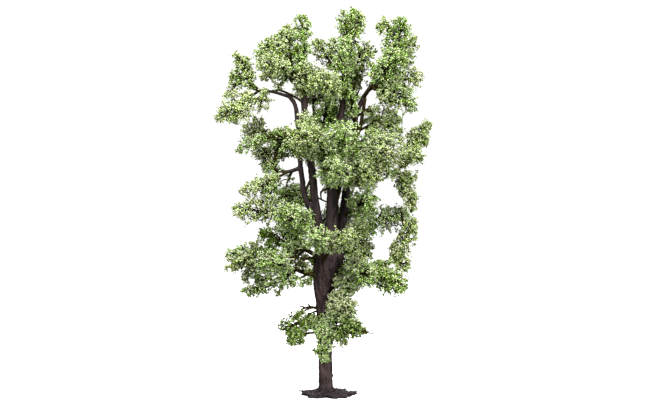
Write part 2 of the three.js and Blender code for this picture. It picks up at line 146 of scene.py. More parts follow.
def through(places: Sequence[Place], steps: int = 24) -> Curve:
    """A smooth curve through some places.

    Args:
        places: The places, measured from the trunk's foot.
        steps: Points between two of them.

    Returns:
        The curve.
    """
    inner = np.array([on_tree(place) for place in places])
    knots = np.vstack([2 * inner[0] - inner[1], inner, 2 * inner[-1] - inner[-2]])
    t = np.linspace(0, 1, steps, endpoint=False)[:, None]
    stretches = []
    for a, b, c, d in zip(knots, knots[1:], knots[2:], knots[3:]):
        bend = (2 * a - 5 * b + 4 * c - d) * t**2 + (3 * b - a - 3 * c + d) * t**3
        stretches.append(0.5 * (2 * b + (c - a) * t + bend))
    return Curve(np.vstack([*stretches, inner[-1:]]))


def bent(start: np.ndarray, middle: np.ndarray, tip: np.ndarray, steps: int) -> Curve:
    """A curve from a start to a tip that is drawn toward a place between them."""
    t = np.linspace(0, 1, steps + 1)[:, None]
    return Curve((1 - t) ** 2 * start + 2 * t * (1 - t) * middle + t**2 * tip)


def arched(start: np.ndarray, tip: np.ndarray, lift: float, steps: int = 32) -> Curve:
    """A curve from a start to a tip whose middle is lifted."""
    return bent(start, (start + tip) / 2 + lift * UP, tip, steps)


def tapered(foot: float, tip: float, taper: float = 0.8) -> RadiusAt:
    """The radius of a limb along its length.

    Args:
        foot: The radius where it starts.
        tip: The radius where it ends.
        taper: How soon it thins: 1 is even, and less is sooner.

    Returns:
        A function from shares of the length to radii.
    """
    return lambda shares: foot + (tip - foot) * shares**taper


@dataclass(frozen=True)
class Bough:
    """A bough: the places that it runs through, its radius at each end, and whether it leaves the trunk."""

    name: str
    path: tuple[Place, ...]
    foot: float
    tip: float
    on_trunk: bool = True


@dataclass(frozen=True)
class Limb:
    """A side limb: the bough or trunk that it leaves, at which share of that, and where it goes."""

    name: str
    source: str
    at: float
    to: Place
    lift: float
    foot: float
    tip: float


@dataclass(frozen=True)
class Mass:
    """A mass of foliage on a stem that may fork, with the radii, tone and fill of its spindle of flock; its
    tone is painted light or painted shade, by how the mass lies in the light.
    """

    name: str
    limb: str
    at: float
    tip: Place
    wide: float
    tall: float
    bare: float = 0.28
    lift: float = 2
    forks: tuple[Place, ...] = ()
    tone: float = 0
    fill: float = 1


BOUGHS = (
    Bough(
        "bough_centre", ((0.8, -1.6, 57), (2.9, -1, 84), (3.8, 0, 113), (7.8, 2, 140), (10.4, 2, 162)),
        4.2,
        0.9,
    ),
    Bough(
        "bough_left",
        (
            (-3.2, -0.4, 57), (-3.7, -1, 83), (-5.5, -1.5, 96),
            (-6.9, -2, 110.5), (-10.2, -2, 134), (-11, -1, 158),
        ),
        2.3,
        1.4,
    ),
    Bough(
        "bough_right",
        (
            (4.8, 0.4, 57), (7.6, 2, 82), (9.6, 3, 96), (10.8, 4, 108),
            (14.4, 5, 129), (14.9, 5, 138), (19.8, 5, 148.4), (24.4, 4, 153.8),
        ),
        2.9,
        1,
    ),
    Bough(
        "bough_back", ((1.2, 3.4, 57), (3.2, 9, 84), (3.4, 15, 104), (-2, 20, 122), (-6, 22, 140)),
        2.4,
        0.9,
    ),
    Bough(
        "bough_outer_left",
        (
            (-4.2, -1.2, 85.5), (-8, -3, 92), (-10.7, -3, 98.5), (-11.4, -3, 105),
            (-12.4, -2.8, 112), (-14.5, -2.2, 139.5), (-17.6, -2, 146),
        ),
        1.5,
        1,
        on_trunk=False,
    ),
)

LIMBS = (
    Limb("limb_outer_left", "bough_outer_left", 1, (-35, 2, 150), 1.5, 0.85, 0.65),
    Limb("limb_left_mid", "bough_outer_left", 0.445, (-24.5, -2, 110.5), -3, 1.1, 0.7),
    Limb("limb_left_low", "trunk", 0.96, (-17, -2, 62.5), -1, 1.5, 0.8),
    Limb("limb_right_far", "bough_right", 0.53, (35.5, 3, 109.5), 2, 1.2, 0.6),
    Limb("limb_right_low", "trunk", 0.97, (25, 1, 61.5), 3, 1.6, 0.7),
)

# A mass's tone is painted light and shade: lighter on masses out in front and in the light, darker on those
# in the shadow of others.
MASSES = (
    Mass(
        "low_front", "trunk", 0.97, (-5, -29, 78.6), 8, 3.6,
        bare=0.6, lift=7, forks=((9, -25, 78.2),), tone=0.6,
    ),
    Mass("low_right", "trunk", 0.88, (9.6, -7, 45), 5.4, 8, bare=0.5, forks=((13, -6, 56.5),), tone=0.4),
    Mass("skirt_right", "trunk", 0.52, (12.4, -4, 34.4), 6.4, 6.4, bare=0.1, tone=-1.7),
    Mass(
        "skirt_left", "trunk", 0.58, (-18.8, 2, 33.5), 5.4, 5.4,
        bare=0.2, forks=((-15.5, 0, 28),), tone=-1.8,
    ),
    Mass("skirt_front", "trunk", 0.72, (-0.6, -5.5, 21), 4.4, 4, bare=0.12, tone=0.4),
    Mass("upper_left_peak", "bough_left", 1, (-11.6, -1, 182), 4.8, 5, bare=0.25, tone=-0.6),
    Mass(
        "upper_left_shoulder", "bough_left", 0.93, (-29.3, 7, 168.5), 7, 6.5,
        forks=((-19, 3, 176.8), (-26.5, 2, 171)), tone=-0.5,
    ),
    Mass("upper_left_apron", "bough_left", 0.97, (-28.3, -13, 161), 6, 4.8, bare=0.45, tone=0.4),
    Mass("left_knot", "bough_left", 0.73, (-9.5, -12, 131.8), 5.5, 5),
    Mass("mid_left_front", "bough_left", 0.6, (-9.3, -29, 124.5), 8.8, 7),
    Mass("left_inner_back", "bough_left", 0.37, (-21, 24, 98), 7.5, 4.8, tone=-0.4),
    Mass("left_mid", "bough_left", 0.3, (-40.6, -11, 90.5), 5, 6),
    Mass("left_mid_front", "bough_left", 0.23, (-18, -24, 87.5), 8.6, 6, bare=0.5),
    Mass("left_shade", "bough_left", 0.1, (-28.5, 19, 78), 6.5, 5.5, forks=((-18, 28, 82),), tone=-2.2),
    Mass(
        "mid_left_high", "bough_outer_left", 0.7, (-37.8, 11, 130.5), 5, 3.4,
        bare=0.58, lift=-3, forks=((-40, -8, 121.5),),
    ),
    Mass("left_crest", "limb_outer_left", 1, (-43.4, 9, 166), 3.8, 5, forks=((-44.8, 3, 156),), tone=-0.6),
    Mass(
        "left_outer", "limb_outer_left", 0.85, (-48.6, -9, 137.4), 5.8, 6.2,
        bare=0.25, lift=0, forks=((-42, -8, 137),),
    ),
    Mass(
        "crown_gap", "bough_centre", 0.9, (-3.5, 11, 172.5), 4.5, 3.8,
        bare=0.45, forks=((3.5, 9, 173), (8.5, 6, 164)), tone=-0.4, fill=0.8,
    ),
    Mass(
        "centre_peak", "bough_centre", 1, (13.4, 2, 185.2), 5, 5.2,
        bare=0.05, forks=((9.7, 1, 185), (16.4, 3, 184)), tone=-0.6,
    ),
    Mass(
        "centre_shoulder", "bough_centre", 0.93, (19.8, 8, 168), 6.2, 6.3,
        forks=((13.8, 14, 156.5), (12, 9, 148)), tone=-0.4,
    ),
    Mass("centre_high", "bough_centre", 0.86, (-3, -20, 151.8), 7, 5.4),
    Mass("mid_front", "bough_centre", 0.56, (8.3, -30, 125), 8.5, 8),
    Mass("mid_band", "bough_centre", 0.45, (4.3, -31, 109.5), 8.5, 5.8, tone=0.4),
    Mass(
        "right_peak", "bough_right", 1, (37, -2, 180.5), 5.4, 6.5,
        bare=0.4, lift=-5, forks=((41.8, 8, 173.4),), tone=-0.5,
    ),
    Mass(
        "right_shoulder", "bough_right", 0.9, (33, -13, 163), 7, 5.5,
        bare=0.45, forks=((30.5, -4, 147),), tone=-0.3,
    ),
    Mass("right_upper", "bough_right", 0.96, (39, -7, 142.8), 6, 6.5, forks=((43.4, 5, 156.5),)),
    Mass("right_upper_back", "bough_right", 0.93, (33, 22, 157), 7, 6.5, bare=0.4),
    Mass("mid_band_right", "bough_right", 0.45, (17.2, -19, 109), 7, 7, forks=((23, -11, 108.5),)),
    Mass("right_column", "bough_right", 0.72, (31.5, 15, 136.5), 7.4, 6.5, bare=0.4, forks=((22, 6, 126.5),)),
    Mass("right_inner", "bough_right", 0.3, (20, -16, 95), 6.2, 6.8, bare=0.5),
    Mass("right_mid", "bough_right", 0.23, (36.4, 10, 88), 5.8, 6, bare=0.22, lift=0, tone=0.2, fill=1.25),
    Mass("right_shade", "bough_right", 0.12, (17.3, 22, 73), 7.2, 6.5, forks=((14.5, 10, 67),), tone=-0.5),
    Mass("centre_veil", "bough_back", 0.85, (1, 10, 141), 6, 8, forks=((9.5, 14, 138),), tone=-0.7),
    Mass("back_high", "bough_back", 1, (-9, 27, 158), 8.5, 7.5, forks=((6, 30, 150),)),
    Mass("back_left", "bough_back", 0.7, (-13, 36, 126), 8.5, 7.5, forks=((-25, 28, 127),)),
    Mass("back_right", "bough_back", 0.6, (13, 36, 123), 8.5, 7.5, forks=((26, 28, 120),)),
    Mass("back_low", "bough_back", 0.33, (6.5, 36, 84), 8.5, 7, forks=((16, 28, 93), (-12, 33, 83))),
    Mass("mid_left_low", "limb_left_mid", 1, (-30.5, 11, 119), 6, 4.6, forks=((-21, 4, 127),), tone=-0.4),
    Mass(
        "left_lower_mid", "limb_left_mid", 0.5, (-37.5, -10, 100.5), 4.8, 4.4,
        lift=-1, forks=((-27, -9, 97.5),),
    ),
    Mass(
        "left_low", "limb_left_low", 1, (-45, 8, 68.8), 5.5, 5,
        forks=((-45.4, -3, 64.5), (-38, 3, 59)), tone=0.3,
    ),
    Mass(
        "left_low_front", "limb_left_low", 0.6, (-26, -16, 65.6), 7.6, 5.8,
        bare=0.55, forks=((-18.8, -12, 58),), tone=0.4,
    ),
    Mass("left_low_tip", "limb_left_low", 0.85, (-37.8, 5, 50.6), 4.2, 3, bare=0.5, lift=-4),
    Mass("mid_right", "limb_right_far", 0.5, (28.7, -14, 120), 9.5, 8.5, tone=0.3),
    Mass(
        "right_point", "limb_right_far", 1, (48.8, 8, 131), 4.8, 5,
        bare=0.15, forks=((44.5, -5, 117.5),), fill=1.35,
    ),
    Mass(
        "right_hang_high", "limb_right_far", 0.9, (41.9, 0, 93.5), 3.5, 6,
        lift=8, bare=0.05, forks=((41.6, 1, 107),), tone=-0.6, fill=1.3,
    ),
    Mass(
        "right_hang_low", "limb_right_low", 1, (41.8, 1, 83.5), 4.4, 5.5,
        lift=-11, bare=0.3, forks=((38, 0, 64),), tone=-0.4, fill=1.25,
    ),
    Mass("right_low_front", "limb_right_low", 0.3, (19.5, -14, 59.5), 7, 6.2, bare=0.35, tone=0.2),
    Mass("right_low", "limb_right_low", 0.5, (33.8, -8, 54.5), 6, 5, tone=-1.6),
)

# Small sprays between the masses, on the wood or on the stem of a mass. Their tones paint light and shade, as
# the masses' do.
SPRAYS = (
    Mass("bough_left_upper", "bough_left", 0.86, (-11.4, -6, 158.6), 4, 4.5, bare=0.1),
    Mass("bough_left_top", "bough_left", 0.96, (-12.6, -5, 164), 3.4, 4, bare=0.1, tone=-0.5),
    Mass("bough_centre_front", "bough_centre", 0.84, (8, -6, 165), 4.5, 4.5, bare=0.15),
    Mass("bough_centre_top", "bough_centre", 0.95, (9, -5, 171), 4.5, 4, bare=0.1, tone=-0.5),
    Mass("limb_outer_left_shoot", "limb_outer_left", 0.6, (-31, 0, 148.4), 2.4, 1.8, bare=0.1, lift=0),
    Mass("bough_right_inner", "bough_right", 0.76, (12, -2, 147), 3.5, 5, bare=0.3, tone=-0.4),
    Mass("bough_right_low", "bough_right", 0.16, (17, -7, 82), 5, 4.6, bare=0.25),
    Mass("left_knot_shade", "bough_left", 0.72, (-9.5, -15, 132), 2.6, 2.6, bare=0.6, tone=-2),
    Mass("skirt_lobe", "trunk", 0.84, (8.6, -9, 44.2), 6.4, 4.6, bare=0.4, tone=1.6),
    Mass("skirt_lobe_low", "trunk", 0.72, (11, -7, 39), 6, 4.4, bare=0.2),
    Mass("skirt_under", "trunk", 0.5, (6.8, -3, 27.6), 4.6, 3.6, bare=0.2, tone=-1),
    Mass("skirt_edge", "trunk", 0.52, (15.5, -2, 32), 3.6, 4, bare=0.5, tone=-1.5),
    Mass("skirt_left_inner", "trunk", 0.6, (-9.5, -2, 34.8), 4, 3.4, bare=0.2, tone=-0.4),
    Mass("skirt_left_hang", "trunk", 0.5, (-16.5, -1, 28.5), 3.2, 3.8, bare=0.65, tone=-1.2),
    Mass("trunk_front", "trunk", 0.66, (-1, -5.5, 27), 4, 4, bare=0.2, tone=0.3),
    Mass("trunk_front_left", "trunk", 0.62, (-4, -4.5, 31), 2.6, 3.4, bare=0.3),
    Mass("trunk_twig_leaf", "trunk", 0.71, (-13.6, -2, 39.6), 1.8, 2.4, bare=0.78, lift=3, tone=-0.3),
    Mass("head_right", "trunk", 0.96, (16, -9, 65), 4.6, 6, bare=0.7, tone=0.5),
    Mass("head_right_low", "trunk", 0.93, (12, -9, 54.5), 4.4, 5, bare=0.4, tone=0.9),
    Mass(
        "limb_left_low_leaf", "limb_left_low", 0.35, (-10.4, -3, 55.4), 2.6, 1.8,
        bare=0.2, lift=0, tone=0.4,
    ),
    Mass("limb_left_mid_leaf", "limb_left_mid", 0.7, (-29.6, 2, 111.5), 3, 2.4, bare=0.05, lift=0),
    Mass(
        "limb_left_mid_under", "limb_left_mid", 0.35, (-19.5, 4, 103.5), 3.6, 3,
        bare=0.3, lift=0, tone=-1, fill=0.2,
    ),
    Mass("head_left", "trunk", 0.98, (-11.6, -3, 63.6), 3.2, 2.2, bare=0.4, lift=0, tone=0.3),
    Mass("right_peak_left", "right_peak", 0.8, (27.4, 3, 181.4), 3.4, 4.2, bare=0.35, tone=-0.9),
    Mass("right_column_inner", "bough_right", 0.8, (24, 2, 139.5), 3.6, 3.6, bare=0.5, tone=-0.8, fill=0.35),
    Mass("left_low_hang", "limb_left_low", 1, (-23.6, -4, 50.2), 1.6, 2.4, bare=0.75, lift=0, tone=-1.2),
    Mass("limb_right_low_end", "limb_right_low", 1, (36.8, -3, 55.4), 3.8, 5, bare=0.2, lift=0, tone=-1.4),
    Mass("limb_right_low_mid", "limb_right_low", 0.75, (28, -6, 59), 4.5, 4.6, bare=0.1, lift=0, tone=-1.5),
    Mass("upper_left_hang", "upper_left_shoulder", 0.55, (-28.5, -1, 156.8), 4.6, 2.6, bare=0.25, lift=0),
    Mass("upper_left_hang_inner", "upper_left_shoulder", 0.4, (-23.6, -1, 151), 2, 3, bare=0.45, lift=0),
    Mass("left_crest_low", "left_crest", 0.5, (-48, 2, 148), 2.6, 2.6, bare=0.4, lift=0),
    Mass("mid_left_top", "mid_left_high", 0.7, (-34, 8, 135.5), 3, 2, bare=0.3, lift=0),
    Mass("heart", "bough_centre", 0.45, (-3, 6, 122), 6, 5, bare=0.3, tone=-0.8),
    Mass("bough_back_mid", "bough_back", 0.45, (3, 25, 113), 5, 5, bare=0.2, tone=-0.3),
    Mass("bough_back_low", "bough_back", 0.14, (8, 20, 76), 6, 5, bare=0.3, tone=-0.3),
    Mass("trunk_back", "trunk", 0.95, (1, 15, 62), 5.5, 5, bare=0.3, tone=-0.4),
    Mass("left_low_top", "limb_left_low", 0.6, (-17.5, -3, 72.2), 5, 2.6, bare=0.35, tone=0.5),
    Mass("right_point_mid", "right_point", 0.5, (47, 2, 125), 3.6, 4, bare=0.3),
    Mass("right_column_edge", "right_column", 0.7, (35, 6, 127), 4, 4.6, bare=0.4),
    Mass("mid_right_under", "mid_right", 0.6, (30.5, -6, 108), 3, 2.2, bare=0.4),
    Mass("right_low_top", "limb_right_low", 0.7, (29.5, -2, 64.6), 3.6, 2, bare=0.2, lift=0, tone=-0.4),
    Mass("left_low_crest", "left_low", 0.5, (-35, 4, 73.4), 3.4, 2.2, bare=0.3),
    Mass("skirt_right_tip", "skirt_right", 0.5, (19.5, -4, 31.6), 1.6, 1.4, bare=0.5),
    Mass("trunk_tuft", "trunk", 0.34, (-5, -3, 21.8), 1.6, 3.2, bare=0.3, lift=0),
    Mass("head_left_top", "trunk", 0.99, (-8.6, 1, 67), 3, 2.4, bare=0.3, lift=0, tone=-0.6),
    Mass(
        "left_crest_inner", "limb_outer_left", 0.9, (-38.4, 0, 152.6), 2.4, 2.2,
        bare=0.2, tone=-0.6, fill=0.8,
    ),
    Mass(
        "left_outer_inner", "limb_outer_left", 0.75, (-32, -4, 142), 4.8, 4.6,
        bare=0.3, lift=0, tone=-0.5, fill=0.5,
    ),
    Mass("right_peak_edge", "right_peak", 0.4, (40, 4, 165.5), 4, 5, bare=0.4, tone=-0.6),
    Mass("left_low_back", "left_low", 0.35, (-28.5, 6, 72.5), 3.4, 2.6, bare=0.3, tone=-0.3),
    Mass("mid_left_inner", "mid_left_low", 0.4, (-20.5, 6, 117.8), 2.8, 2, bare=0.3, tone=-0.4),
    # These two dark sprays fill pockets of the crown that lie in shadow: painted shade.
    Mass("upper_left_dark", "bough_left", 1, (-14.2, -5, 169), 2.4, 2.4, bare=0.7, tone=-2.4),
    Mass("upper_left_dim", "upper_left_shoulder", 0.6, (-24.5, -3, 166.5), 3, 2.6, bare=0.5, tone=-2),
    Mass("left_low_link", "left_low_tip", 0.45, (-32.5, 4, 56.5), 3, 3, bare=0.2),
    Mass("right_shade_lobe", "right_shade", 0.4, (21, 6, 68), 2.6, 2.4, bare=0.5, tone=-0.4),
)


@dataclass(frozen=True)
class BareTwig:
    """A twig that carries no flock: the places that it runs through, and its radius at each end."""

    path: tuple[Place, ...]
    foot: float
    tip: float


BARE_TWIGS = (
    BareTwig(((-3.4, -0.5, 42.2), (-7.8, -1, 43.4), (-12.4, -1.5, 42.2)), 0.95, 0.5),
    BareTwig(((-7.4, -1, 43.3), (-8.4, -1.6, 44.4), (-9, -2, 45.2)), 0.55, 0.35),
    BareTwig(((-10, -1.2, 42.8), (-11.6, -0.6, 43.6), (-13, 0, 43.6)), 0.5, 0.35),
    BareTwig(((-4, -1.4, 41.6), (-7, -2.4, 40.6), (-8.8, -2.6, 39.2)), 0.6, 0.4),
    BareTwig(((-9, -2, 59.6), (-11.4, -3, 58.2), (-14.4, -4, 57.4), (-18.6, -4.4, 58.6)), 0.8, 0.4),
    BareTwig(((-5, -2.5, 58.6), (-8.5, -3.2, 60.2), (-11.4, -3.6, 60.4)), 1.5, 1.1),
    BareTwig(((-14, -2, 61.4), (-15.8, -3, 60), (-15, -4, 57.6)), 0.5, 0.4),
    BareTwig(
        ((-4.8, -3, 69.4), (-9.6, -5, 71.6), (-14.4, -7, 68), (-17.6, -8, 65.2), (-16.8, -8, 61.8)),
        0.9,
        0.45,
    ),
    BareTwig(((-5, -3, 67.8), (-10, -5.4, 67.2), (-14.6, -7.4, 68), (-18.4, -8, 67.6)), 0.8, 0.35),
    BareTwig(((-8.6, -4.8, 71), (-12.4, -6.6, 71.6), (-15.6, -7.6, 69.6)), 0.6, 0.35),
    BareTwig(((-9.6, -5.4, 67.2), (-12.8, -7, 65.2), (-16, -8.2, 63.6)), 0.6, 0.35),
    BareTwig(((-13, -7, 69), (-15, -8.4, 66.4), (-14.6, -8.8, 64)), 0.55, 0.35),
    BareTwig(
        ((-10.8, -1.6, 142.4), (-13.5, -2, 145.1), (-21.9, -1.2, 149.3), (-26.5, -0.4, 149.3)),
        0.75,
        0.6,
    ),
    BareTwig(((4.6, -1.6, 94), (6.2, -1, 99.5), (7.4, 0, 104.5)), 1.4, 1.1),
    BareTwig(((14.2, 4, 135), (12.8, 2, 143), (13.4, 1, 150), (15.4, 0, 156)), 0.9, 0.45),
    BareTwig(((14.6, 4.6, 126), (17, 3.4, 132), (18, 3.4, 138), (19.4, 4.4, 146)), 1.3, 0.9),
    BareTwig(((13.4, 3, 139), (10.8, 1, 147), (11.4, 0, 155)), 0.65, 0.35),
    BareTwig(((13.2, 2, 144), (16, 0, 149), (17, -1, 154)), 0.55, 0.35),
    BareTwig(((-5.2, -2, 97.4), (-2.1, -2.6, 95.9), (0.8, -2.2, 94.6)), 0.5, 0.45),
    BareTwig(((-2.3, -2.7, 96), (-2.5, -2.7, 99.4), (-0.6, -2.5, 100.8), (1.6, -2, 101.8)), 0.55, 0.7),
    BareTwig(((-10.9, -2.8, 99), (-9.2, -2.7, 102), (-7.6, -2.4, 105.6)), 0.85, 0.7),
    BareTwig(((4.6, -3, 61.6), (7.6, -4.6, 63), (10.4, -5, 66.4)), 0.7, 0.25),
    BareTwig(((37, 5, 90), (37.9, 4, 84.5), (37.7, 3, 77)), 0.55, 0.4),
    BareTwig(((12, -4, 32.2), (17, -4.4, 31.5), (23.4, -4, 30.6)), 0.55, 0.3),
    BareTwig(((17.6, -4.4, 31.4), (19.6, -5, 32.8), (21.4, -5.2, 32.4)), 0.26, 0.16),
)


# The colour sockets of a Mix node, which has others of the same names.
MIX_A, MIX_B, MIX_RESULT = 6, 7, 2


def linear(hex_colour: str) -> tuple[float, float, float, float]:
    """An sRGB hex colour as linear light, with full alpha."""
    shares = [int(hex_colour[i : i + 2], 16) / 255 for i in (1, 3, 5)]
    light = [s / 12.92 if s <= 0.04045 else ((s + 0.055) / 1.055) ** 2.4 for s in shares]
    return (*light, 1.0)


def per_metre(size_mm: float) -> float:
    """The scale of a pattern on Object coordinates whose features have a size."""
    return 1 / (size_mm * MM)


def blank_tree(owner: bpy.types.Material | bpy.types.World) -> bpy.types.NodeTree:
    """The emptied node tree of a material or of the world."""
    owner.use_nodes = True
    owner.node_tree.nodes.clear()
    return owner.node_tree


def add_node(
    tree: bpy.types.NodeTree, kind: str, inputs: dict[str | int, Any], **settings: Any
) -> bpy.types.Node:
    """Adds a node to a tree.

    Args:
        tree: The material's or the world's tree.
        kind: Blender's name of the node.
        inputs: For each input, a socket to link to it or a value to set.
        **settings: Other properties of the node.

    Returns:
        The node.
    """
    node = tree.nodes.new(kind)
    for name, value in settings.items():
        setattr(node, name, value)
    for name, value in inputs.items():
        if isinstance(value, bpy.types.NodeSocket):
            tree.links.new(value, node.inputs[name])
        else:
            node.inputs[name].default_value = value
    return node


@dataclass(frozen=True)
class MouldedPlastic:
    """Polystyrene moulded in a bark-textured tool: satin, with pale and dark streaks along the grain, and
    darkened by painted shade up the tree and at the foot.

    Attributes:
        name: The material's name.
        dark: The colour of its dark streaks.
        pale: The colour of its pale ones.
        mottle_mm: How wide the streaks are.
        grain_mm: The size of its fine grain.
        grain_depth_mm: How deep that grain is.
        stretch: The scale of its patterns up the tree, below 1 because they are drawn out that way.
        roughness: How dull it is.
        hollow_shine: How much less dull the hollows of the grain are.
        crest_dullness: How much duller its worn crests are.
        gloss: How much light its skin throws back.
        unshaded_mm: The height up to which it has its full colour, without painted shade.
        crown_shade_mm: The height from which painted shade darkens it fully, as if in the crown's shadow.
        crown_shade: How much darker that painted shade makes it there.
        foot_shade_mm: The height below which painted shade darkens the foot, where it meets the root plate.
        foot_shade_full: The share of that height at which it is darkest.
        foot_shade: How much darker that painted shade makes the foot.
    """

    name: str
    dark: str
    pale: str
    mottle_mm: float = 2.2
    grain_mm: float = 0.35
    grain_depth_mm: float = 0.08
    stretch: float = 0.15
    roughness: float = 0.62
    hollow_shine: float = 0.12
    crest_dullness: float = 0.15
    gloss: float = 0.2
    # Painted shade: darker up the tree, as if in the crown's shadow, and darker at the foot where it meets
    # the root plate.
    unshaded_mm: float = 30
    crown_shade_mm: float = 75
    crown_shade: float = 0.45
    foot_shade_mm: float = 13
    foot_shade_full: float = 0.3
    foot_shade: float = 0

    def material(self) -> bpy.types.Material:
        """Makes the material."""
        made = bpy.data.materials.new(self.name)
        tree = blank_tree(made)
        place = add_node(tree, "ShaderNodeTexCoord", {}).outputs["Object"]
        stretched = add_node(
            tree, "ShaderNodeMapping", {"Vector": place, "Scale": (1.0, 1.0, self.stretch)}
        ).outputs["Vector"]
        mottle = add_node(
            tree,
            "ShaderNodeTexNoise",
            {"Vector": stretched, "Scale": per_metre(self.mottle_mm), "Detail": 4.0, "Roughness": 0.6},
        ).outputs["Fac"]
        grain = add_node(
            tree,
            "ShaderNodeTexNoise",
            {"Vector": stretched, "Scale": per_metre(self.grain_mm), "Detail": 3.0, "Roughness": 0.55},
        ).outputs["Fac"]
        patches = add_node(
            tree,
            "ShaderNodeMapRange",
            {"Value": mottle, "From Min": 0.34, "From Max": 0.66},
        ).outputs["Result"]
        colour = add_node(
            tree,
            "ShaderNodeMix",
            {"Factor": patches, MIX_A: linear(self.dark), MIX_B: linear(self.pale)},
            data_type="RGBA",
        ).outputs[MIX_RESULT]
        height = add_node(tree, "ShaderNodeSeparateXYZ", {"Vector": place}).outputs["Z"]
        # Painted shade: the colour darkens with height up the tree, as if in the shadow of the crown.
        painted_crown_shade = add_node(
            tree,
            "ShaderNodeMapRange",
            {
                "Value": height,
                "From Min": self.unshaded_mm * MM,
                "From Max": self.crown_shade_mm * MM,
                "To Max": self.crown_shade,
            },
        ).outputs["Result"]
        # Painted shade: the colour darkens towards the foot, where it meets the root plate.
        painted_foot_shade = add_node(
            tree,
            "ShaderNodeMapRange",
            {
                "Value": height,
                "From Min": self.foot_shade_mm * MM,
                "From Max": self.foot_shade_full * self.foot_shade_mm * MM,
                "To Max": self.foot_shade,
            },
        ).outputs["Result"]
        # The stronger of the two painted shades darkens the colour toward black.
        darker = add_node(
            tree, "ShaderNodeMath", {0: painted_crown_shade, 1: painted_foot_shade}, operation="MAXIMUM"
        ).outputs["Value"]
        shaded = add_node(
            tree,
            "ShaderNodeMix",
            {"Factor": darker, MIX_A: colour, MIX_B: linear("#000000")},
            data_type="RGBA",
        ).outputs[MIX_RESULT]
        dullness = add_node(
            tree,
            "ShaderNodeMapRange",
            {
                "Value": grain,
                "To Min": self.roughness - self.hollow_shine,
                "To Max": self.roughness + self.crest_dullness,
            },
        ).outputs["Result"]
        bump = add_node(
            tree,
            "ShaderNodeBump",
            {"Height": grain, "Strength": 0.7, "Distance": self.grain_depth_mm * MM},
        ).outputs["Normal"]
        surface = add_node(
            tree,
            "ShaderNodeBsdfPrincipled",
            {
                "Base Color": shaded,
                "Roughness": dullness,
                "IOR": 1.55,
                "Specular IOR Level": self.gloss,
                "Normal": bump,
            },
        )
        add_node(tree, "ShaderNodeOutputMaterial", {"Surface": surface.outputs["BSDF"]})
        return made


@dataclass(frozen=True)
class FlockFlake:
    """Dyed flock, cut into leaf flakes: matte, of one even colour, and with next to no shine.

    Attributes:
        name: The material's name.
        colour: Its colour.
        roughness: How dull it is.
        gloss: How much light its skin throws back.
    """

    name: str
    colour: str
    roughness: float = 0.6
    gloss: float = 0.02

    def material(self) -> bpy.types.Material:
        """Makes the material."""
        made = bpy.data.materials.new(self.name)
        tree = blank_tree(made)
        surface = add_node(
            tree,
            "ShaderNodeBsdfPrincipled",
            {
                "Base Color": linear(self.colour),
                "Roughness": self.roughness,
                "IOR": 1.45,
                "Specular IOR Level": self.gloss,
            },
        )
        add_node(tree, "ShaderNodeOutputMaterial", {"Surface": surface.outputs["BSDF"]})
        return made


# The bark and the twigs darken up the tree with painted shade of the crown.
BARK = MouldedPlastic(
    "moulded_polystyrene_bark",
    dark="#150f0f",
    pale="#403130",
    mottle_mm=1.5,
    gloss=0.12,
    # Painted shade at the foot, where it meets the root plate.
    foot_shade=0.45,
)
ROOTS = MouldedPlastic(
    "moulded_polystyrene_roots",
    dark="#050404",
    pale="#2c2325",
    mottle_mm=0.9,
    roughness=0.75,
    gloss=0.08,
)
TWIGS = MouldedPlastic(
    "moulded_polystyrene_twigs",
    dark="#181503",
    pale="#3c3410",
    mottle_mm=1.2,
    roughness=0.7,
    gloss=0.05,
)


class Tone(Enum):
    """The tones of the flock: from the darkest up, then the pale flecks, then the greens of cool branches."""

    SHADE = FlockFlake("flock_shade_green", "#2f4400")
    DEEP = FlockFlake("flock_deep_green", "#556c1a")
    MOSS = FlockFlake("flock_moss_green", "#7d924a")
    LEAF = FlockFlake("flock_leaf_green", "#97aa69")
    FRESH = FlockFlake("flock_fresh_green", "#a9b37e")
    SAGE = FlockFlake("flock_sage_green", "#abb48e")
    LIGHT = FlockFlake("flock_light_green", "#b2b79a")
    STRAW = FlockFlake("flock_straw_flecks", "#bcb992")
    COOL_MOSS = FlockFlake("flock_cool_moss_green", "#729140")
    COOL_LEAF = FlockFlake("flock_cool_leaf_green", "#8ba95e")
    COOL_FRESH = FlockFlake("flock_cool_fresh_green", "#9eb473")


# The share of the flakes that has each tone or a darker one.
TONE_STEPS = (0.1, 0.25, 0.42, 0.6, 0.77, 0.91)
STRAW_SHARE = 0.03
# What a tone becomes on a cool branch.
COOLER = {Tone.MOSS: Tone.COOL_MOSS, Tone.LEAF: Tone.COOL_LEAF, Tone.FRESH: Tone.COOL_FRESH}


def piece_from_bmesh(name: str, shape: bmesh.types.BMesh) -> bpy.types.Object:
    """Turns a bmesh into an object at the origin, with its faces pointing out, and frees it."""
    bmesh.ops.recalc_face_normals(shape, faces=shape.faces[:])
    mesh = bpy.data.meshes.new(name)
    shape.to_mesh(mesh)
    shape.free()
    piece = bpy.data.objects.new(name, mesh)
    bpy.context.scene.collection.objects.link(piece)
    return piece


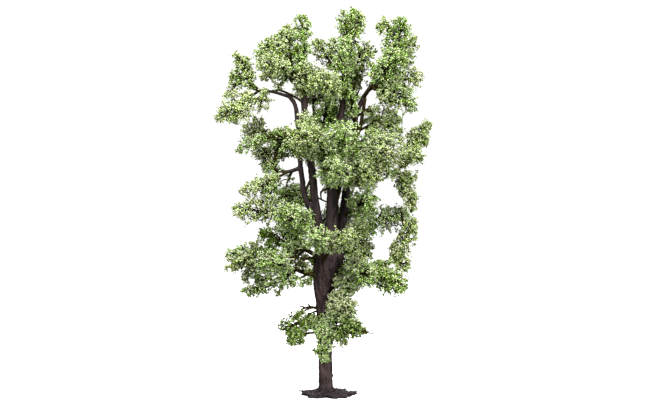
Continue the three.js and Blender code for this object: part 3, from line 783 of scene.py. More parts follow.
def piece_from_arrays(name: str, places: np.ndarray, faces: Sequence[np.ndarray]) -> bpy.types.Object:
    """Makes one object of many small closed shapes.

    Args:
        name: The object's name.
        places: The corners, in millimetres.
        faces: Arrays of faces, each array with one number of corners a face.

    Returns:
        The object.
    """
    mesh = bpy.data.meshes.new(name)
    corners = np.concatenate([block.ravel() for block in faces]).astype(np.int32)
    sides = np.concatenate([np.full(len(block), block.shape[1]) for block in faces])
    mesh.vertices.add(len(places))
    mesh.vertices.foreach_set("co", (places * MM).astype(np.float32).ravel())
    mesh.loops.add(len(corners))
    mesh.loops.foreach_set("vertex_index", corners)
    mesh.polygons.add(len(sides))
    mesh.polygons.foreach_set("loop_start", (np.cumsum(sides) - sides).astype(np.int32))
    mesh.update(calc_edges=True)
    piece = bpy.data.objects.new(name, mesh)
    bpy.context.scene.collection.objects.link(piece)
    return piece


def ring_places(curve: Curve, shares: np.ndarray, radii: np.ndarray) -> list[Matrix]:
    """Where a ring of radius 1 goes along a curve.

    Args:
        curve: The curve.
        shares: Shares of its length.
        radii: The radius at each.

    Returns:
        A matrix for each share, in metres.
    """
    centres = curve.at(shares)
    places = []
    for centre, across, beside, along, radius in zip(centres, *curve.frames(shares), radii):
        turn = Matrix(np.column_stack([across, beside, along]).tolist()).to_4x4()
        places.append(Matrix.Translation(Vector(centre) * MM) @ turn @ Matrix.Scale(radius * MM, 4))
    return places


def add_bar(shape: bmesh.types.BMesh, curve: Curve, radius_at: RadiusAt, sides: int, spacing: float) -> None:
    """Extrudes a closed round bar along a curve.

    Args:
        shape: The bmesh that it is added to.
        curve: The curve.
        radius_at: The bar's radius by the share of its length.
        sides: Corners in a ring.
        spacing: Length between two rings.
    """
    shares = np.linspace(0, 1, max(2, round(curve.length / spacing)) + 1)
    places = ring_places(curve, shares, radius_at(shares))
    ring = bmesh.ops.create_circle(shape, cap_ends=True, segments=sides, radius=1, matrix=places[0])["verts"]
    edges = [edge for edge in {edge for vert in ring for edge in vert.link_edges} if edge.is_boundary]
    for before, after in pairwise(places):
        made = bmesh.ops.extrude_edge_only(shape, edges=edges)["geom"]
        verts = [item for item in made if isinstance(item, bmesh.types.BMVert)]
        edges = [item for item in made if isinstance(item, bmesh.types.BMEdge) and item.is_boundary]
        bmesh.ops.transform(shape, matrix=after @ before.inverted(), verts=verts)
    bmesh.ops.holes_fill(shape, edges=edges, sides=0)


def fuse(piece: bpy.types.Object, voxel: float, rounds: int) -> None:
    """Fuses the overlapping shapes of a piece into one skin and smooths it.

    Args:
        piece: The piece.
        voxel: The size of the skin's faces.
        rounds: Times that the skin is smoothed.
    """
    remesh = piece.modifiers.new("fuse", "REMESH")
    remesh.mode = "VOXEL"
    remesh.voxel_size = voxel * MM
    evaluated = piece.evaluated_get(bpy.context.evaluated_depsgraph_get())
    fused = bpy.data.meshes.new_from_object(evaluated)
    piece.modifiers.clear()
    piece.data = fused
    shape = bmesh.new()
    shape.from_mesh(fused)
    for _ in range(rounds):
        bmesh.ops.smooth_vert(
            shape, verts=shape.verts[:], factor=0.5, use_axis_x=True, use_axis_y=True, use_axis_z=True
        )
    shape.to_mesh(fused)
    shape.free()


def corners_of(mesh: bpy.types.Mesh, kind: str) -> np.ndarray:
    """The corners of a mesh, in metres, or the ways that they face.

    Args:
        mesh: The mesh.
        kind: "co" or "normal".

    Returns:
        One row for each corner.
    """
    values = np.empty(3 * len(mesh.vertices), dtype=np.float32)
    mesh.vertices.foreach_get(kind, values)
    return values.reshape(-1, 3).astype(float)


def place_corners(mesh: bpy.types.Mesh, places: np.ndarray) -> None:
    """Moves the corners of a mesh to places in metres."""
    mesh.vertices.foreach_set("co", places.astype(np.float32).ravel())
    mesh.update()


def shade_smooth(piece: bpy.types.Object) -> None:
    """Shades a piece's faces smooth."""
    piece.data.polygons.foreach_set("use_smooth", [True] * len(piece.data.polygons))


def finish_piece(
    piece: bpy.types.Object, material: bpy.types.Material, nodes: Sequence[str]
) -> None:
    """Gives a piece its material, hangs it on the root body and hides the solids that it stands for.

    Args:
        piece: The piece.
        material: Its material.
        nodes: The solids that it stands for.
    """
    piece.data.materials.append(material)
    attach(piece, "root")
    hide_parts(*nodes)
    LOG.info("%s: %d faces", piece.name, len(piece.data.polygons))


@dataclass
class Armature:
    """The moulded trunk, boughs and limbs, fused into one piece with the bark's relief.

    Attributes:
        axis: Places that the trunk runs through.
        bole: The trunk's plain radius.
        flare: What its root flare adds at the foot.
        flare_height: How soon that dies away.
        crown_swell: What it gains under the boughs.
        swell_from: The share of its height where that begins.
        sides: Corners in a ring.
        spacing: Length between two rings.
        voxel: The size of the skin's faces.
        smoothing: Times that the skin is smoothed.
        ridges: How many ridges of bark there are round a limb, roughly.
        ridge_length: How long a ridge is.
        ridge_share: How high a ridge is, as a share of the limb's radius.
        ridge_most: The most that it is high.
        ridge_sharpness: How narrow its crest is.
        knot_share: How high the knots are, as a share of a ridge.
        knot_size: How big they are.
        run_apart: Length between the patterns of two limbs, so that they differ.
        parting: The share of the trunk where its boughs begin to part.
        parting_radius: The radius of a bough there.
        parting_ends: The share of a bough where it stands clear.
        parting_sunk: The radius there, as a share of the bough's, so that it sinks in.
        head: Places that the wood between the boughs' feet runs through.
        head_radius: The radius of that wood at its widest.
        head_ends: Its radius at both ends, as a share of that.
        knob: Where a knob sits on the trunk.
        knob_radius: How big that is.
        curves: The course of each limb.
        radii: The radius of each limb.
    """

    axis: tuple[Place, ...] = ((0, 0, 1), (-0.5, 0, 22), (-1.2, 0, 44), (-0.2, 0.4, 60))
    bole: float = 3.2
    flare: float = 1.2
    flare_height: float = 1.6
    crown_swell: float = 2.9
    swell_from: float = 0.66
    sides: int = 14
    spacing: float = 1.5
    voxel: float = 0.33
    smoothing: int = 4
    ridges: float = 2.4
    ridge_length: float = 7.0
    ridge_share: float = 0.14
    ridge_most: float = 0.45
    ridge_sharpness: float = 2.6
    knot_share: float = 0.6
    knot_size: float = 1.7
    run_apart: float = 100
    parting: float = 0.62
    parting_radius: float = 1.6
    parting_ends: float = 0.12
    parting_sunk: float = 0.97
    head: tuple[Place, ...] = ((-0.7, 0.2, 50), (0, 0.4, 64), (1.4, 0.8, 79))
    head_radius: float = 6.3
    head_ends: float = 0.5
    knob: Place = (2.9, -1, 9.6)
    knob_radius: float = 1.1
    curves: dict[str, Curve] = field(default_factory=dict)
    radii: dict[str, RadiusAt] = field(default_factory=dict)

    def __post_init__(self) -> None:
        """Lays out the limbs in the order that they grow."""
        self.curves["trunk"] = through(self.axis)
        self.radii["trunk"] = self.trunk_radius
        for bough in BOUGHS:
            self.curves[bough.name] = through(bough.path)
            self.radii[bough.name] = tapered(bough.foot, bough.tip)
        for limb in LIMBS:
            start = self.start_on(limb.source, limb.at)
            self.curves[limb.name] = arched(start, on_tree(limb.to), limb.lift)
            self.radii[limb.name] = tapered(limb.foot, limb.tip)

    def trunk_radius(self, shares: np.ndarray) -> np.ndarray:
        """The trunk's radius: root flare, plain bole and the swelling under the boughs."""
        height = shares * (self.axis[-1][2] - self.axis[0][2])
        rise = np.clip((shares - self.swell_from) / (1 - self.swell_from), 0, 1)
        swell = self.crown_swell * rise**2 * (3 - 2 * rise)
        return self.bole + self.flare * np.exp(-height / self.flare_height) + swell

    def head_radii(self, shares: np.ndarray) -> np.ndarray:
        """The radius of the wood between the boughs' feet, widest in the middle."""
        return self.head_radius * (self.head_ends + (1 - self.head_ends) * np.sin(np.pi * shares))

    def start_on(self, name: str, at: float) -> np.ndarray:
        """The place on a limb's axis where another leaves it."""
        return self.curves[name].at(np.array([at]))[0]

    def build(self) -> bpy.types.Object:
        """Makes the piece."""
        shape = bmesh.new()
        for name, curve in self.curves.items():
            add_bar(shape, curve, self.radii[name], self.sides, self.spacing)
        for bough in BOUGHS:
            if bough.on_trunk:
                self.add_parting(shape, bough.name)
        add_bar(shape, through(self.head), self.head_radii, self.sides, self.spacing)
        knob = Matrix.Translation(Vector(on_tree(self.knob)) * MM)
        bmesh.ops.create_icosphere(shape, subdivisions=2, radius=self.knob_radius * MM, matrix=knob)
        piece = piece_from_bmesh("bark", shape)
        fuse(piece, self.voxel, self.smoothing)
        self.press_bark(piece.data)
        shade_smooth(piece)
        return piece

    def add_parting(self, shape: bmesh.types.BMesh, name: str) -> None:
        """Adds the ridge by which a bough parts from the trunk.

        Args:
            shape: The bmesh that it is added to.
            name: The bough.
        """
        start = self.start_on("trunk", self.parting)
        end = self.start_on(name, self.parting_ends)
        end_radius = self.parting_sunk * self.radii[name](np.array([self.parting_ends]))[0]
        radius_at = tapered(self.parting_radius, end_radius)
        add_bar(shape, arched(start, end, lift=0), radius_at, self.sides, self.spacing)

    def samples(self, steps: int = 48) -> tuple[np.ndarray, np.ndarray, np.ndarray, np.ndarray]:
        """Places along every limb, with the frame, the radius and the length run at each.

        Args:
            steps: Places on a limb.

        Returns:
            The places, their axes as rows of a matrix, the radii and the lengths run.
        """
        shares = np.linspace(0, 1, steps)
        centres, axes, radii, runs = [], [], [], []
        for index, (name, curve) in enumerate(self.curves.items()):
            centres.append(curve.at(shares))
            axes.append(np.stack(curve.frames(shares), axis=1))
            radii.append(self.radii[name](shares))
            runs.append(shares * curve.length + self.run_apart * index)
        return np.vstack(centres), np.vstack(axes), np.concatenate(radii), np.concatenate(runs)

    def press_bark(self, mesh: bpy.types.Mesh) -> None:
        """Presses long ridges of bark into the fused skin, along each limb."""
        centres, axes, radii, runs = self.samples()
        tree = KDTree(len(centres))
        for index, centre in enumerate(centres):
            tree.insert(centre, index)
        tree.balance()
        places = corners_of(mesh, "co")
        normals = corners_of(mesh, "normal")
        heights = np.empty(len(places))
        for i, place in enumerate(places / MM):
            near = tree.find(place)[1]
            across, beside, along = axes[near] @ (place - centres[near])
            angle = math.atan2(beside, across)
            run = (runs[near] + along) / self.ridge_length
            ring = Vector((math.cos(angle) * self.ridges, math.sin(angle) * self.ridges, run))
            ridge = 1 - self.ridge_sharpness * abs(noise.noise(ring))
            knots = self.knot_share * noise.noise(Vector(place) / self.knot_size)
            heights[i] = (ridge + knots) * min(self.ridge_share * radii[near], self.ridge_most)
        place_corners(mesh, places + normals * heights[:, None] * MM)

    def dress(self, piece: bpy.types.Object) -> None:
        """Gives the moulding its bark."""
        finish_piece(piece, BARK.material(), list(self.curves))


@dataclass
class RootPlate:
    """The base: torn layers of root and bark round the foot of the trunk, flat below.

    Attributes:
        layers: The radius, the lower face and the upper face of each layer.
        rim_corners: Corners of a layer's outline.
        lobes: Broad waves of the outline.
        lobe_depth: Their depth, as a share of the radius.
        lobe_turn: The angle by which they are turned.
        tear: How deep the outline is torn, as a share of the radius.
        tears: How many tears there are round it, roughly.
        roots: How many roots run out from the trunk.
        root_reach: How far out they run.
        root_height: How high they leave the trunk.
        root_start: How far from the trunk's axis they start.
        root_bend: The share of their reach where they bend.
        root_bend_height: How high that is.
        root_end: How high they end.
        root_end_step: How much higher every other one ends.
        root_drift: How far they stray from even angles.
        root_sway: How far their ends turn aside.
        root_uneven: How much their reaches differ.
        root_foot: Their radius at the trunk.
        root_tip: Their radius at the end.
        root_steps: Steps along one.
        spurs: The tips of the torn spurs that stick out past the rim, from the trunk's foot.
        spur_inner: Where they start, as a share of the way out to their tips.
        spur_height: How high they start.
        spur_foot: Their radius where they leave the plate.
        spur_tip: Their radius at the tip.
        bar_sides: Corners in a ring of a root or spur.
        bar_spacing: Length between two rings of a root, and of a spur.
        voxel: The size of the skin's faces.
        smoothing: Times that the skin is smoothed.
        grit: How rough the top is.
        grit_size: How big its grains are.
        under: The upward part of the normal below which a corner counts as the underside.
        flat_below: The height below which the plate is pressed flat.
    """

    layers: tuple[tuple[float, float, float], ...] = ((12.3, 0.0, 0.8), (11.8, 1.0, 1.6), (8.4, 1.3, 2.1))
    rim_corners: int = 120
    lobes: int = 5
    lobe_depth: float = 0.05
    lobe_turn: float = 0.7
    tear: float = 0.3
    tears: float = 3.2
    roots: int = 10
    root_reach: float = 13.6
    root_height: float = 3.4
    root_start: float = 1.5
    root_bend: float = 0.42
    root_bend_height: float = 1.7
    root_end: float = 0.6
    root_end_step: float = 1.1
    root_drift: float = 0.5
    root_sway: float = 0.35
    root_uneven: float = 0.15
    root_foot: float = 1.4
    root_tip: float = 0.3
    root_steps: int = 23
    spurs: tuple[Place, ...] = ((-14.2, 5, 1.5), (-13.8, -2.8, 0.9), (15.6, 5, 1.3), (14.6, -3.4, 0.6))
    spur_inner: float = 0.35
    spur_height: float = 1.2
    spur_foot: float = 1.1
    spur_tip: float = 0.2
    bar_sides: int = 10
    bar_spacing: tuple[float, float] = (0.8, 0.7)
    voxel: float = 0.26
    smoothing: int = 2
    grit: float = 0.68
    grit_size: float = 0.9
    under: float = -0.5
    flat_below: float = 0.2

    def add_layer(self, shape: bmesh.types.BMesh, radius: float, low: float, high: float) -> None:
        """Extrudes one torn layer of the plate.

        Args:
            shape: The bmesh that it is added to.
            radius: Its radius.
            low: The height of its lower face.
            high: The height of its upper face.
        """
        level = Matrix.Translation((0, 0, low * MM))
        rim = bmesh.ops.create_circle(
            shape, cap_ends=True, segments=self.rim_corners, radius=radius * MM, matrix=level
        )["verts"]
        for vert in rim:
            angle = math.atan2(vert.co.y, vert.co.x)
            lobe = self.lobe_depth * math.sin(self.lobes * angle + self.lobe_turn)
            ring = Vector((self.tears * math.cos(angle), self.tears * math.sin(angle), radius))
            vert.co.xy *= 1 + lobe + self.tear * noise.noise(ring)
        face = rim[0].link_faces[0]
        top = bmesh.ops.extrude_face_region(shape, geom=[face])["geom"]
        verts = [item for item in top if isinstance(item, bmesh.types.BMVert)]
        bmesh.ops.translate(shape, vec=(0, 0, (high - low) * MM), verts=verts)

    def root(self, index: int) -> Curve:
        """The course of one root, from the trunk down to the rim."""
        # Three rows of the noise, so that the three chances are apart.
        drift, sway, uneven = (noise.noise(Vector((index, row, 0))) for row in (3.1, 7.7, 1.3))
        angle = 2 * math.pi * index / self.roots + self.root_drift * drift
        turned = angle + self.root_sway * sway
        reach = self.root_reach * (1 + self.root_uneven * uneven)
        way = np.array([math.cos(angle), math.sin(angle), 0])
        end_way = np.array([math.cos(turned), math.sin(turned), 0])
        end_height = self.root_end + self.root_end_step * (index % 2)
        start = FOOT + self.root_start * way + self.root_height * UP
        middle = FOOT / 2 + self.root_bend * reach * way + self.root_bend_height * UP
        return bent(start, middle, reach * end_way + end_height * UP, self.root_steps)

    def build(self) -> bpy.types.Object:
        """Makes the piece."""
        shape = bmesh.new()
        for layer in self.layers:
            self.add_layer(shape, *layer)
        root_spacing, spur_spacing = self.bar_spacing
        for index in range(self.roots):
            radius_at = tapered(self.root_foot, self.root_tip)
            add_bar(shape, self.root(index), radius_at, self.bar_sides, root_spacing)
        for tip in self.spurs:
            inner = (self.spur_inner * tip[0], self.spur_inner * tip[1], self.spur_height)
            radius_at = tapered(self.spur_foot, self.spur_tip)
            add_bar(shape, through((inner, tip)), radius_at, self.bar_sides, spur_spacing)
        piece = piece_from_bmesh("roots", shape)
        fuse(piece, self.voxel, self.smoothing)
        self.roughen(piece.data)
        shade_smooth(piece)
        return piece

    def roughen(self, mesh: bpy.types.Mesh) -> None:
        """Roughens the top and the rim, and leaves the underside flat on the ground."""
        places = corners_of(mesh, "co")
        normals = corners_of(mesh, "normal")
        rough = np.array([noise.noise(Vector(place) / self.grit_size) for place in places / MM])
        grains = self.grit * rough * (normals[:, 2] > self.under)
        moved = places + normals * grains[:, None] * MM
        moved[:, 2] = np.where(places[:, 2] < self.flat_below * MM, 0, np.maximum(moved[:, 2], 0))
        place_corners(mesh, moved)

    def dress(self, piece: bpy.types.Object) -> None:
        """Gives the plate its finish."""
        finish_piece(piece, ROOTS.material(), ["root_plate"])


@dataclass
class Branch:
    """A branch of a mass, and the spindle of flock that wraps it beyond its bare share.

    Attributes:
        curve: The branch's course.
        wide: The spindle's radius across.
        tall: Its radius up and down.
        bare: The share of the branch that is bare.
        past: How far the spindle runs past the branch, as a share of its length.
        tone: What its flock's tone starts from: its mass's painted light or painted shade.
        fill: How full of twigs it is.
        end_fullness: Its radius at both ends, as a share.
        cap: What its round end adds to its length, as a share of its radius across.
        roundness: The area of its skin, as a share of a tube's.
    """

    curve: Curve
    wide: float
    tall: float
    bare: float
    past: float
    tone: float
    fill: float
    end_fullness: float = 0.3
    cap: float = 0.5
    roundness: float = 0.8

    def fullness(self, along: np.ndarray) -> np.ndarray:
        """How full the spindle is along its length."""
        return self.end_fullness + (1 - self.end_fullness) * np.sqrt(np.sin(np.pi * np.clip(along, 0, 1)))

    def ways(self, shares: np.ndarray, turns: np.ndarray) -> np.ndarray:
        """Ways straight out from the branch.

        Args:
            shares: Shares of its length.
            turns: Angles round it.

        Returns:
            A direction for each pair.
        """
        order = np.argsort(shares)
        across, beside, _ = self.curve.frames(np.minimum(shares[order], 1))
        turned = turns[order, None]
        ways = np.empty_like(across)
        ways[order] = np.cos(turned) * across + np.sin(turned) * beside
        return ways

    def surface(self, along: np.ndarray, turns: np.ndarray) -> tuple[np.ndarray, np.ndarray, np.ndarray]:
        """Where the spindle's axis is, which way is out, and how far its skin is.

        Args:
            along: Shares of the spindle's length.
            turns: Angles round it.

        Returns:
            Places on the axis, ways out and reaches.
        """
        shares = self.bare + along * (1 + self.past - self.bare)
        ways = self.ways(shares, turns)
        reach = np.hypot(self.wide * np.hypot(ways[:, 0], ways[:, 1]), self.tall * ways[:, 2])
        return self.curve.at(shares), ways, reach * self.fullness(along)

    @property
    def area(self) -> float:
        """The rough area of the spindle's skin that is filled."""
        leafy = self.curve.length * (1 + self.past - self.bare) + self.cap * self.wide
        return self.fill * leafy * math.pi * (self.wide + self.tall) * self.roundness


@dataclass(frozen=True)
class Rule:
    """The rule by which every mass grows, from its stem to its flakes.

    Attributes:
        seed: Starts the random numbers of the masses.
        hue_seed: Starts those that say which branches are cool.
        fork_at: The share of a stem where its forks leave.
        fork_bare: The share of a fork that is bare.
        fork_size: The size of its spindle, as a share of the main one's.
        fork_lift: How far its middle is lifted.
        overshoot: How far a spindle runs past its branch, as a share of its radius.
        stem_foot: A branch's radius where it starts.
        stem_tip: Its radius where it ends.
        stem_points: Rings along it.
        stem_corners: Corners in a ring.
        side_area: The area of skin to each side branch.
        side_fewest: The fewest side branches.
        side_turn: How far they stray from even angles.
        side_last: The share of the leafy stem where the last one leaves.
        side_reach: How near they come to the skin.
        side_uneven: The least and the most share of that reach.
        side_bow: How far they bow up, as a share of their length.
        side_points: Rings along one.
        side_corners: Corners in a ring.
        side_foot: Its radius where it starts.
        side_tip: Its radius where it ends.
        twig_area: The area of skin to each twig.
        twig_reach: How far out the outermost twigs aim, as a share of the way to the skin.
        twig_longest: The longest that one is.
        twig_scatter: How far along its aim strays, on a branch with one side branch.
        twig_turn: How far round it strays.
        twig_depth: How far in from there the innermost aim, as a share.
        twig_crowding: How strongly they crowd to the outside.
        twig_back: How far back on its side branch a twig leaves, as a share.
        twig_back_spread: How much that differs.
        twig_first: The least share of a side branch at which one leaves.
        twig_foot: Its radius where it starts.
        flakes_per_twig: How many flakes are stuck to one.
        flake_along: Where on the twig the first and the last may be, as shares.
        flake_spread: How far they stray from it.
        flake_out: How strongly they face out of the mass.
        flake_up: How strongly they face up.
        flake_tilt: How much they are tilted at random.
        flake_length: How long one is.
        flake_width: How wide it is.
        flake_sizes: The least and the most share of that.
        flake_uneven: How near and how far its corners may be, as shares.
        flake_cup: How far its rim hangs.
        flake_corners: Corners of its rim.
        flake_lowest: The height below which there are none.
        wood_clearance: The gap that they keep to trunk, boughs and limbs.
        spray_tones: How much the tone differs from spray to spray.
        twig_tones: How much it differs from twig to twig.
        flake_tones: How much it differs from flake to flake.
        painted_sky_light: How much lighter the tone of a spray that faces up is, and darker that of one
            facing down: painted light from above and painted shade beneath.
        cool_share: The share of the branches that are cool.
    """

    seed: int = 1887
    hue_seed: int = 29
    fork_at: float = 0.3
    fork_bare: float = 0.45
    fork_size: float = 0.85
    fork_lift: float = 2
    overshoot: float = 0.8
    stem_foot: float = 0.8
    stem_tip: float = 0.4
    stem_points: int = 10
    stem_corners: int = 6
    side_area: float = 34.0
    side_fewest: int = 6
    side_turn: float = 0.3
    side_last: float = 0.97
    side_reach: float = 0.9
    side_uneven: tuple[float, float] = (0.8, 1.1)
    side_bow: float = 0.18
    side_points: int = 4
    side_corners: int = 4
    side_foot: float = 0.4
    side_tip: float = 0.2
    twig_area: float = 5.4
    twig_reach: float = 1.32
    twig_longest: float = 6.0
    twig_scatter: float = 0.9
    twig_turn: float = 0.55
    twig_depth: float = 0.5
    twig_crowding: float = 1.6
    twig_back: float = 0.3
    twig_back_spread: float = 0.2
    twig_first: float = 0.15
    twig_foot: float = 0.17
    flakes_per_twig: int = 15
    flake_along: tuple[float, float] = (0.2, 1.12)
    flake_spread: float = 0.42
    flake_out: float = 0.5
    flake_up: float = 0.45
    flake_tilt: float = 0.7
    flake_length: float = 1.2
    flake_width: float = 0.9
    flake_sizes: tuple[float, float] = (0.72, 1.25)
    flake_uneven: tuple[float, float] = (0.78, 1.2)
    flake_cup: float = 0.16
    flake_corners: int = 4
    flake_lowest: float = 3
    wood_clearance: float = 0.2
    spray_tones: float = 0.35
    twig_tones: float = 0.4
    flake_tones: float = 2.1
    painted_sky_light: float = 0.5
    cool_share: float = 0.45


@dataclass
class Crown:
    """All the foliage: stems, side branches, twigs and flakes.

    Attributes:
        armature: The wood that it grows on.
        rule: How it grows.
        courses: The course of each mass's main stem.
        stems: The branches' curves, as rows of points, with the radius at each.
        sides: The same for the side branches.
        twigs: Feet and tips of the twigs.
        flakes: Places, ways that they face and tone values of the flakes, and whether each is cool.
        hues: The stream of random numbers that says which branches are cool.
    """

    armature: Armature
    rule: Rule = Rule()
    courses: dict[str, Curve] = field(default_factory=dict)
    stems: list[tuple[np.ndarray, np.ndarray]] = field(default_factory=list)
    sides: list[tuple[np.ndarray, np.ndarray]] = field(default_factory=list)
    twigs: list[tuple[np.ndarray, np.ndarray]] = field(default_factory=list)
    flakes: list[tuple[np.ndarray, np.ndarray, np.ndarray, np.ndarray]] = field(default_factory=list)
    hues: np.random.Generator = field(init=False)

    def __post_init__(self) -> None:
        """Starts the stream of the hues."""
        self.hues = np.random.default_rng(self.rule.hue_seed)

    def branches_of(self, mass: Mass) -> list[Branch]:
        """The main stem of a mass and its forks.

        Args:
            mass: The mass.

        Returns:
            The branches, the main one first.
        """
        rule = self.rule
        carrier = self.courses.get(mass.limb) or self.armature.curves[mass.limb]
        main = arched(carrier.at(np.array([mass.at]))[0], on_tree(mass.tip), mass.lift)
        self.courses[mass.name] = main
        foot = main.at(np.array([rule.fork_at]))[0]
        forks = [arched(foot, on_tree(tip), rule.fork_lift) for tip in mass.forks]
        branches = []
        for index, curve in enumerate([main, *forks]):
            size = rule.fork_size if index else 1
            bare = rule.fork_bare if index else mass.bare
            wide, tall = mass.wide * size, mass.tall * size
            past = rule.overshoot * mass.wide * size / curve.length
            branches.append(Branch(curve, wide, tall, bare, past, mass.tone, mass.fill))
        return branches

    def grow(self) -> None:
        """Grows every mass, from stems to flakes."""
        for mass in (*MASSES, *SPRAYS):
            rng = np.random.default_rng((self.rule.seed, crc32(mass.name.encode())))
            for branch in self.branches_of(mass):
                self.grow_stem(branch.curve, self.rule.stem_foot, self.rule.stem_tip)
                self.grow_sprays(branch, rng)
        for twig in BARE_TWIGS:
            self.grow_stem(through(twig.path), twig.foot, twig.tip)

    def grow_stem(self, curve: Curve, foot: float, tip: float) -> None:
        """Adds the wood of a stem or a bare twig."""
        shares = np.linspace(0, 1, self.rule.stem_points)
        self.stems.append((curve.at(shares)[None], tapered(foot, tip)(shares)[None]))

    def grow_sprays(self, branch: Branch, rng: np.random.Generator) -> None:
        """Grows the side branches of a branch, their twigs and the flakes on those.

        Args:
            branch: The branch.
            rng: The stream of random numbers.
        """
        rule = self.rule
        count = max(rule.side_fewest, round(branch.area / rule.side_area))
        along = (np.arange(count) + rng.random(count)) / count
        turns = np.arange(count) * GOLDEN_ANGLE + rng.normal(0, rule.side_turn, count)
        feet = branch.curve.at(branch.bare + rule.side_last * along * (1 - branch.bare))
        centres, ways, reach = branch.surface(along, turns)
        tips = centres + ways * (rule.side_reach * reach * rng.uniform(*rule.side_uneven, count))[:, None]
        t = np.linspace(0, 1, rule.side_points)[None, :, None]
        length = np.linalg.norm(tips - feet, axis=1)[:, None, None]
        # The 4 makes the bow full half way along.
        bow = rule.side_bow * length * t * (1 - t) * 4 * UP
        points = feet[:, None] + (tips - feet)[:, None] * t + bow
        thins = np.linspace(rule.side_foot, rule.side_tip, rule.side_points)[None].repeat(count, axis=0)
        self.sides.append((points, thins))
        # A spray that faces up gets a lighter tone and one that faces down a darker one: painted light from
        # above and painted shade beneath.
        tones = branch.tone + rng.normal(0, rule.spray_tones, count) + rule.painted_sky_light * ways[:, 2]
        cool = np.full(count, self.hues.random() < rule.cool_share)
        self.grow_twigs(branch, along, turns, points, tones, cool, rng)

    def grow_twigs(
        self,
        branch: Branch,
        along: np.ndarray,
        turns: np.ndarray,
        sides: np.ndarray,
        tones: np.ndarray,
        cool: np.ndarray,
        rng: np.random.Generator,
    ) -> None:
        """Grows twigs from side branches out to the spindle's skin, and flakes on them.

        Args:
            branch: The branch that the side branches are on.
            along: Where each side branch is along the spindle.
            turns: Its angle round it.
            sides: Its points.
            tones: Its tone value.
            cool: Whether it is cool.
            rng: The stream of random numbers.
        """
        rule = self.rule
        count = round(branch.area / rule.twig_area)
        on = np.arange(count) % len(along)
        spread = rule.twig_scatter / math.sqrt(len(along))
        aims = np.clip(along[on] + rng.normal(0, spread, count), 0, 1)
        aim_turns = turns[on] + rng.normal(0, rule.twig_turn, count)
        centres, ways, reach = branch.surface(aims, aim_turns)
        depth = 1 - rule.twig_depth * rng.random(count) ** rule.twig_crowding
        targets = centres + ways * (rule.twig_reach * reach * depth)[:, None]
        back = depth - rule.twig_back + rng.normal(0, rule.twig_back_spread, count)
        spans = rule.side_points - 1
        share = np.clip(back, rule.twig_first, 1) * spans
        knot = np.minimum(share.astype(int), spans - 1)
        part = (share - knot)[:, None]
        feet = sides[on, knot] * (1 - part) + sides[on, knot + 1] * part
        length = np.linalg.norm(targets - feet, axis=1)
        shrink = np.minimum(1, rule.twig_longest / np.maximum(length, 1e-6))
        tips = feet + (targets - feet) * shrink[:, None]
        self.twigs.append((feet, tips))
        twig_tones = tones[on] + rng.normal(0, rule.twig_tones, count)
        self.grow_flakes(feet, tips, ways, twig_tones, cool[on], rng)

    def grow_flakes(
        self,
        feet: np.ndarray,
        tips: np.ndarray,
        ways: np.ndarray,
        tones: np.ndarray,
        cool: np.ndarray,
        rng: np.random.Generator,
    ) -> None:
        """Sticks flakes all along some twigs.

        Args:
            feet: The twigs' feet.
            tips: Their tips.
            ways: The way out from the branch at each.
            tones: Their tone values.
            cool: Whether each is cool.
            rng: The stream of random numbers.
        """
        rule = self.rule
        count = len(feet) * rule.flakes_per_twig
        on = np.repeat(np.arange(len(feet)), rule.flakes_per_twig)
        share = rng.uniform(*rule.flake_along, count)[:, None]
        places = feet[on] + (tips - feet)[on] * share + rng.normal(0, rule.flake_spread, (count, 3))
        tilt = rng.normal(0, rule.flake_tilt, (count, 3))
        faces = unit(rule.flake_out * ways[on] + rule.flake_up * UP + tilt)
        values = tones[on] + rng.normal(0, rule.flake_tones, count)
        self.flakes.append((places, faces, values, cool[on]))

    def build_twigs(self) -> bpy.types.Object:
        """Joins the stems, side branches and twigs into one piece."""
        rule = self.rule
        blocks = (
            bars(*joined(self.stems), sides=rule.stem_corners),
            bars(*joined(self.sides), sides=rule.side_corners),
            cones(*joined(self.twigs), radius=rule.twig_foot),
        )
        places, faces, start = [], [], 0
        for corners, sets in blocks:
            faces.extend(block + start for block in sets)
            places.append(corners)
            start += len(corners)
        return piece_from_arrays("twigs", np.vstack(places), faces)

    def build_flock(self) -> dict[Tone, bpy.types.Object]:
        """Joins the flakes into one piece for each tone."""
        places, ways, values, cool = joined(self.flakes)
        rng = np.random.default_rng(self.rule.seed + 1)
        clear = self.clear_of_wood(places) & (places[:, 2] > self.rule.flake_lowest)
        places, ways, values, cool = places[clear], ways[clear], values[clear], cool[clear]
        steps = np.quantile(values, TONE_STEPS)
        kinds = np.searchsorted(steps, values)
        kinds[rng.random(len(kinds)) < STRAW_SHARE] = len(steps) + 1
        order = list(Tone)
        for warm, cooler in COOLER.items():
            kinds[cool & (kinds == order.index(warm))] = order.index(cooler)
        corners = self.flake_corners(places, ways, rng)
        pieces = {}
        for index, tone in enumerate(order):
            chosen = corners[kinds == index]
            pieces[tone] = piece_from_arrays(tone.value.name, *self.flake_mesh(chosen))
        return pieces

    def clear_of_wood(self, places: np.ndarray) -> np.ndarray:
        """Which places lie outside the trunk, boughs and limbs."""
        centres, _, radii, _ = self.armature.samples()
        clear = np.ones(len(places), dtype=bool)
        for block in np.array_split(np.arange(len(places)), BLOCKS):
            gaps = np.linalg.norm(places[block, None] - centres[None], axis=2) - radii
            clear[block] = gaps.min(axis=1) > self.rule.wood_clearance
        return clear

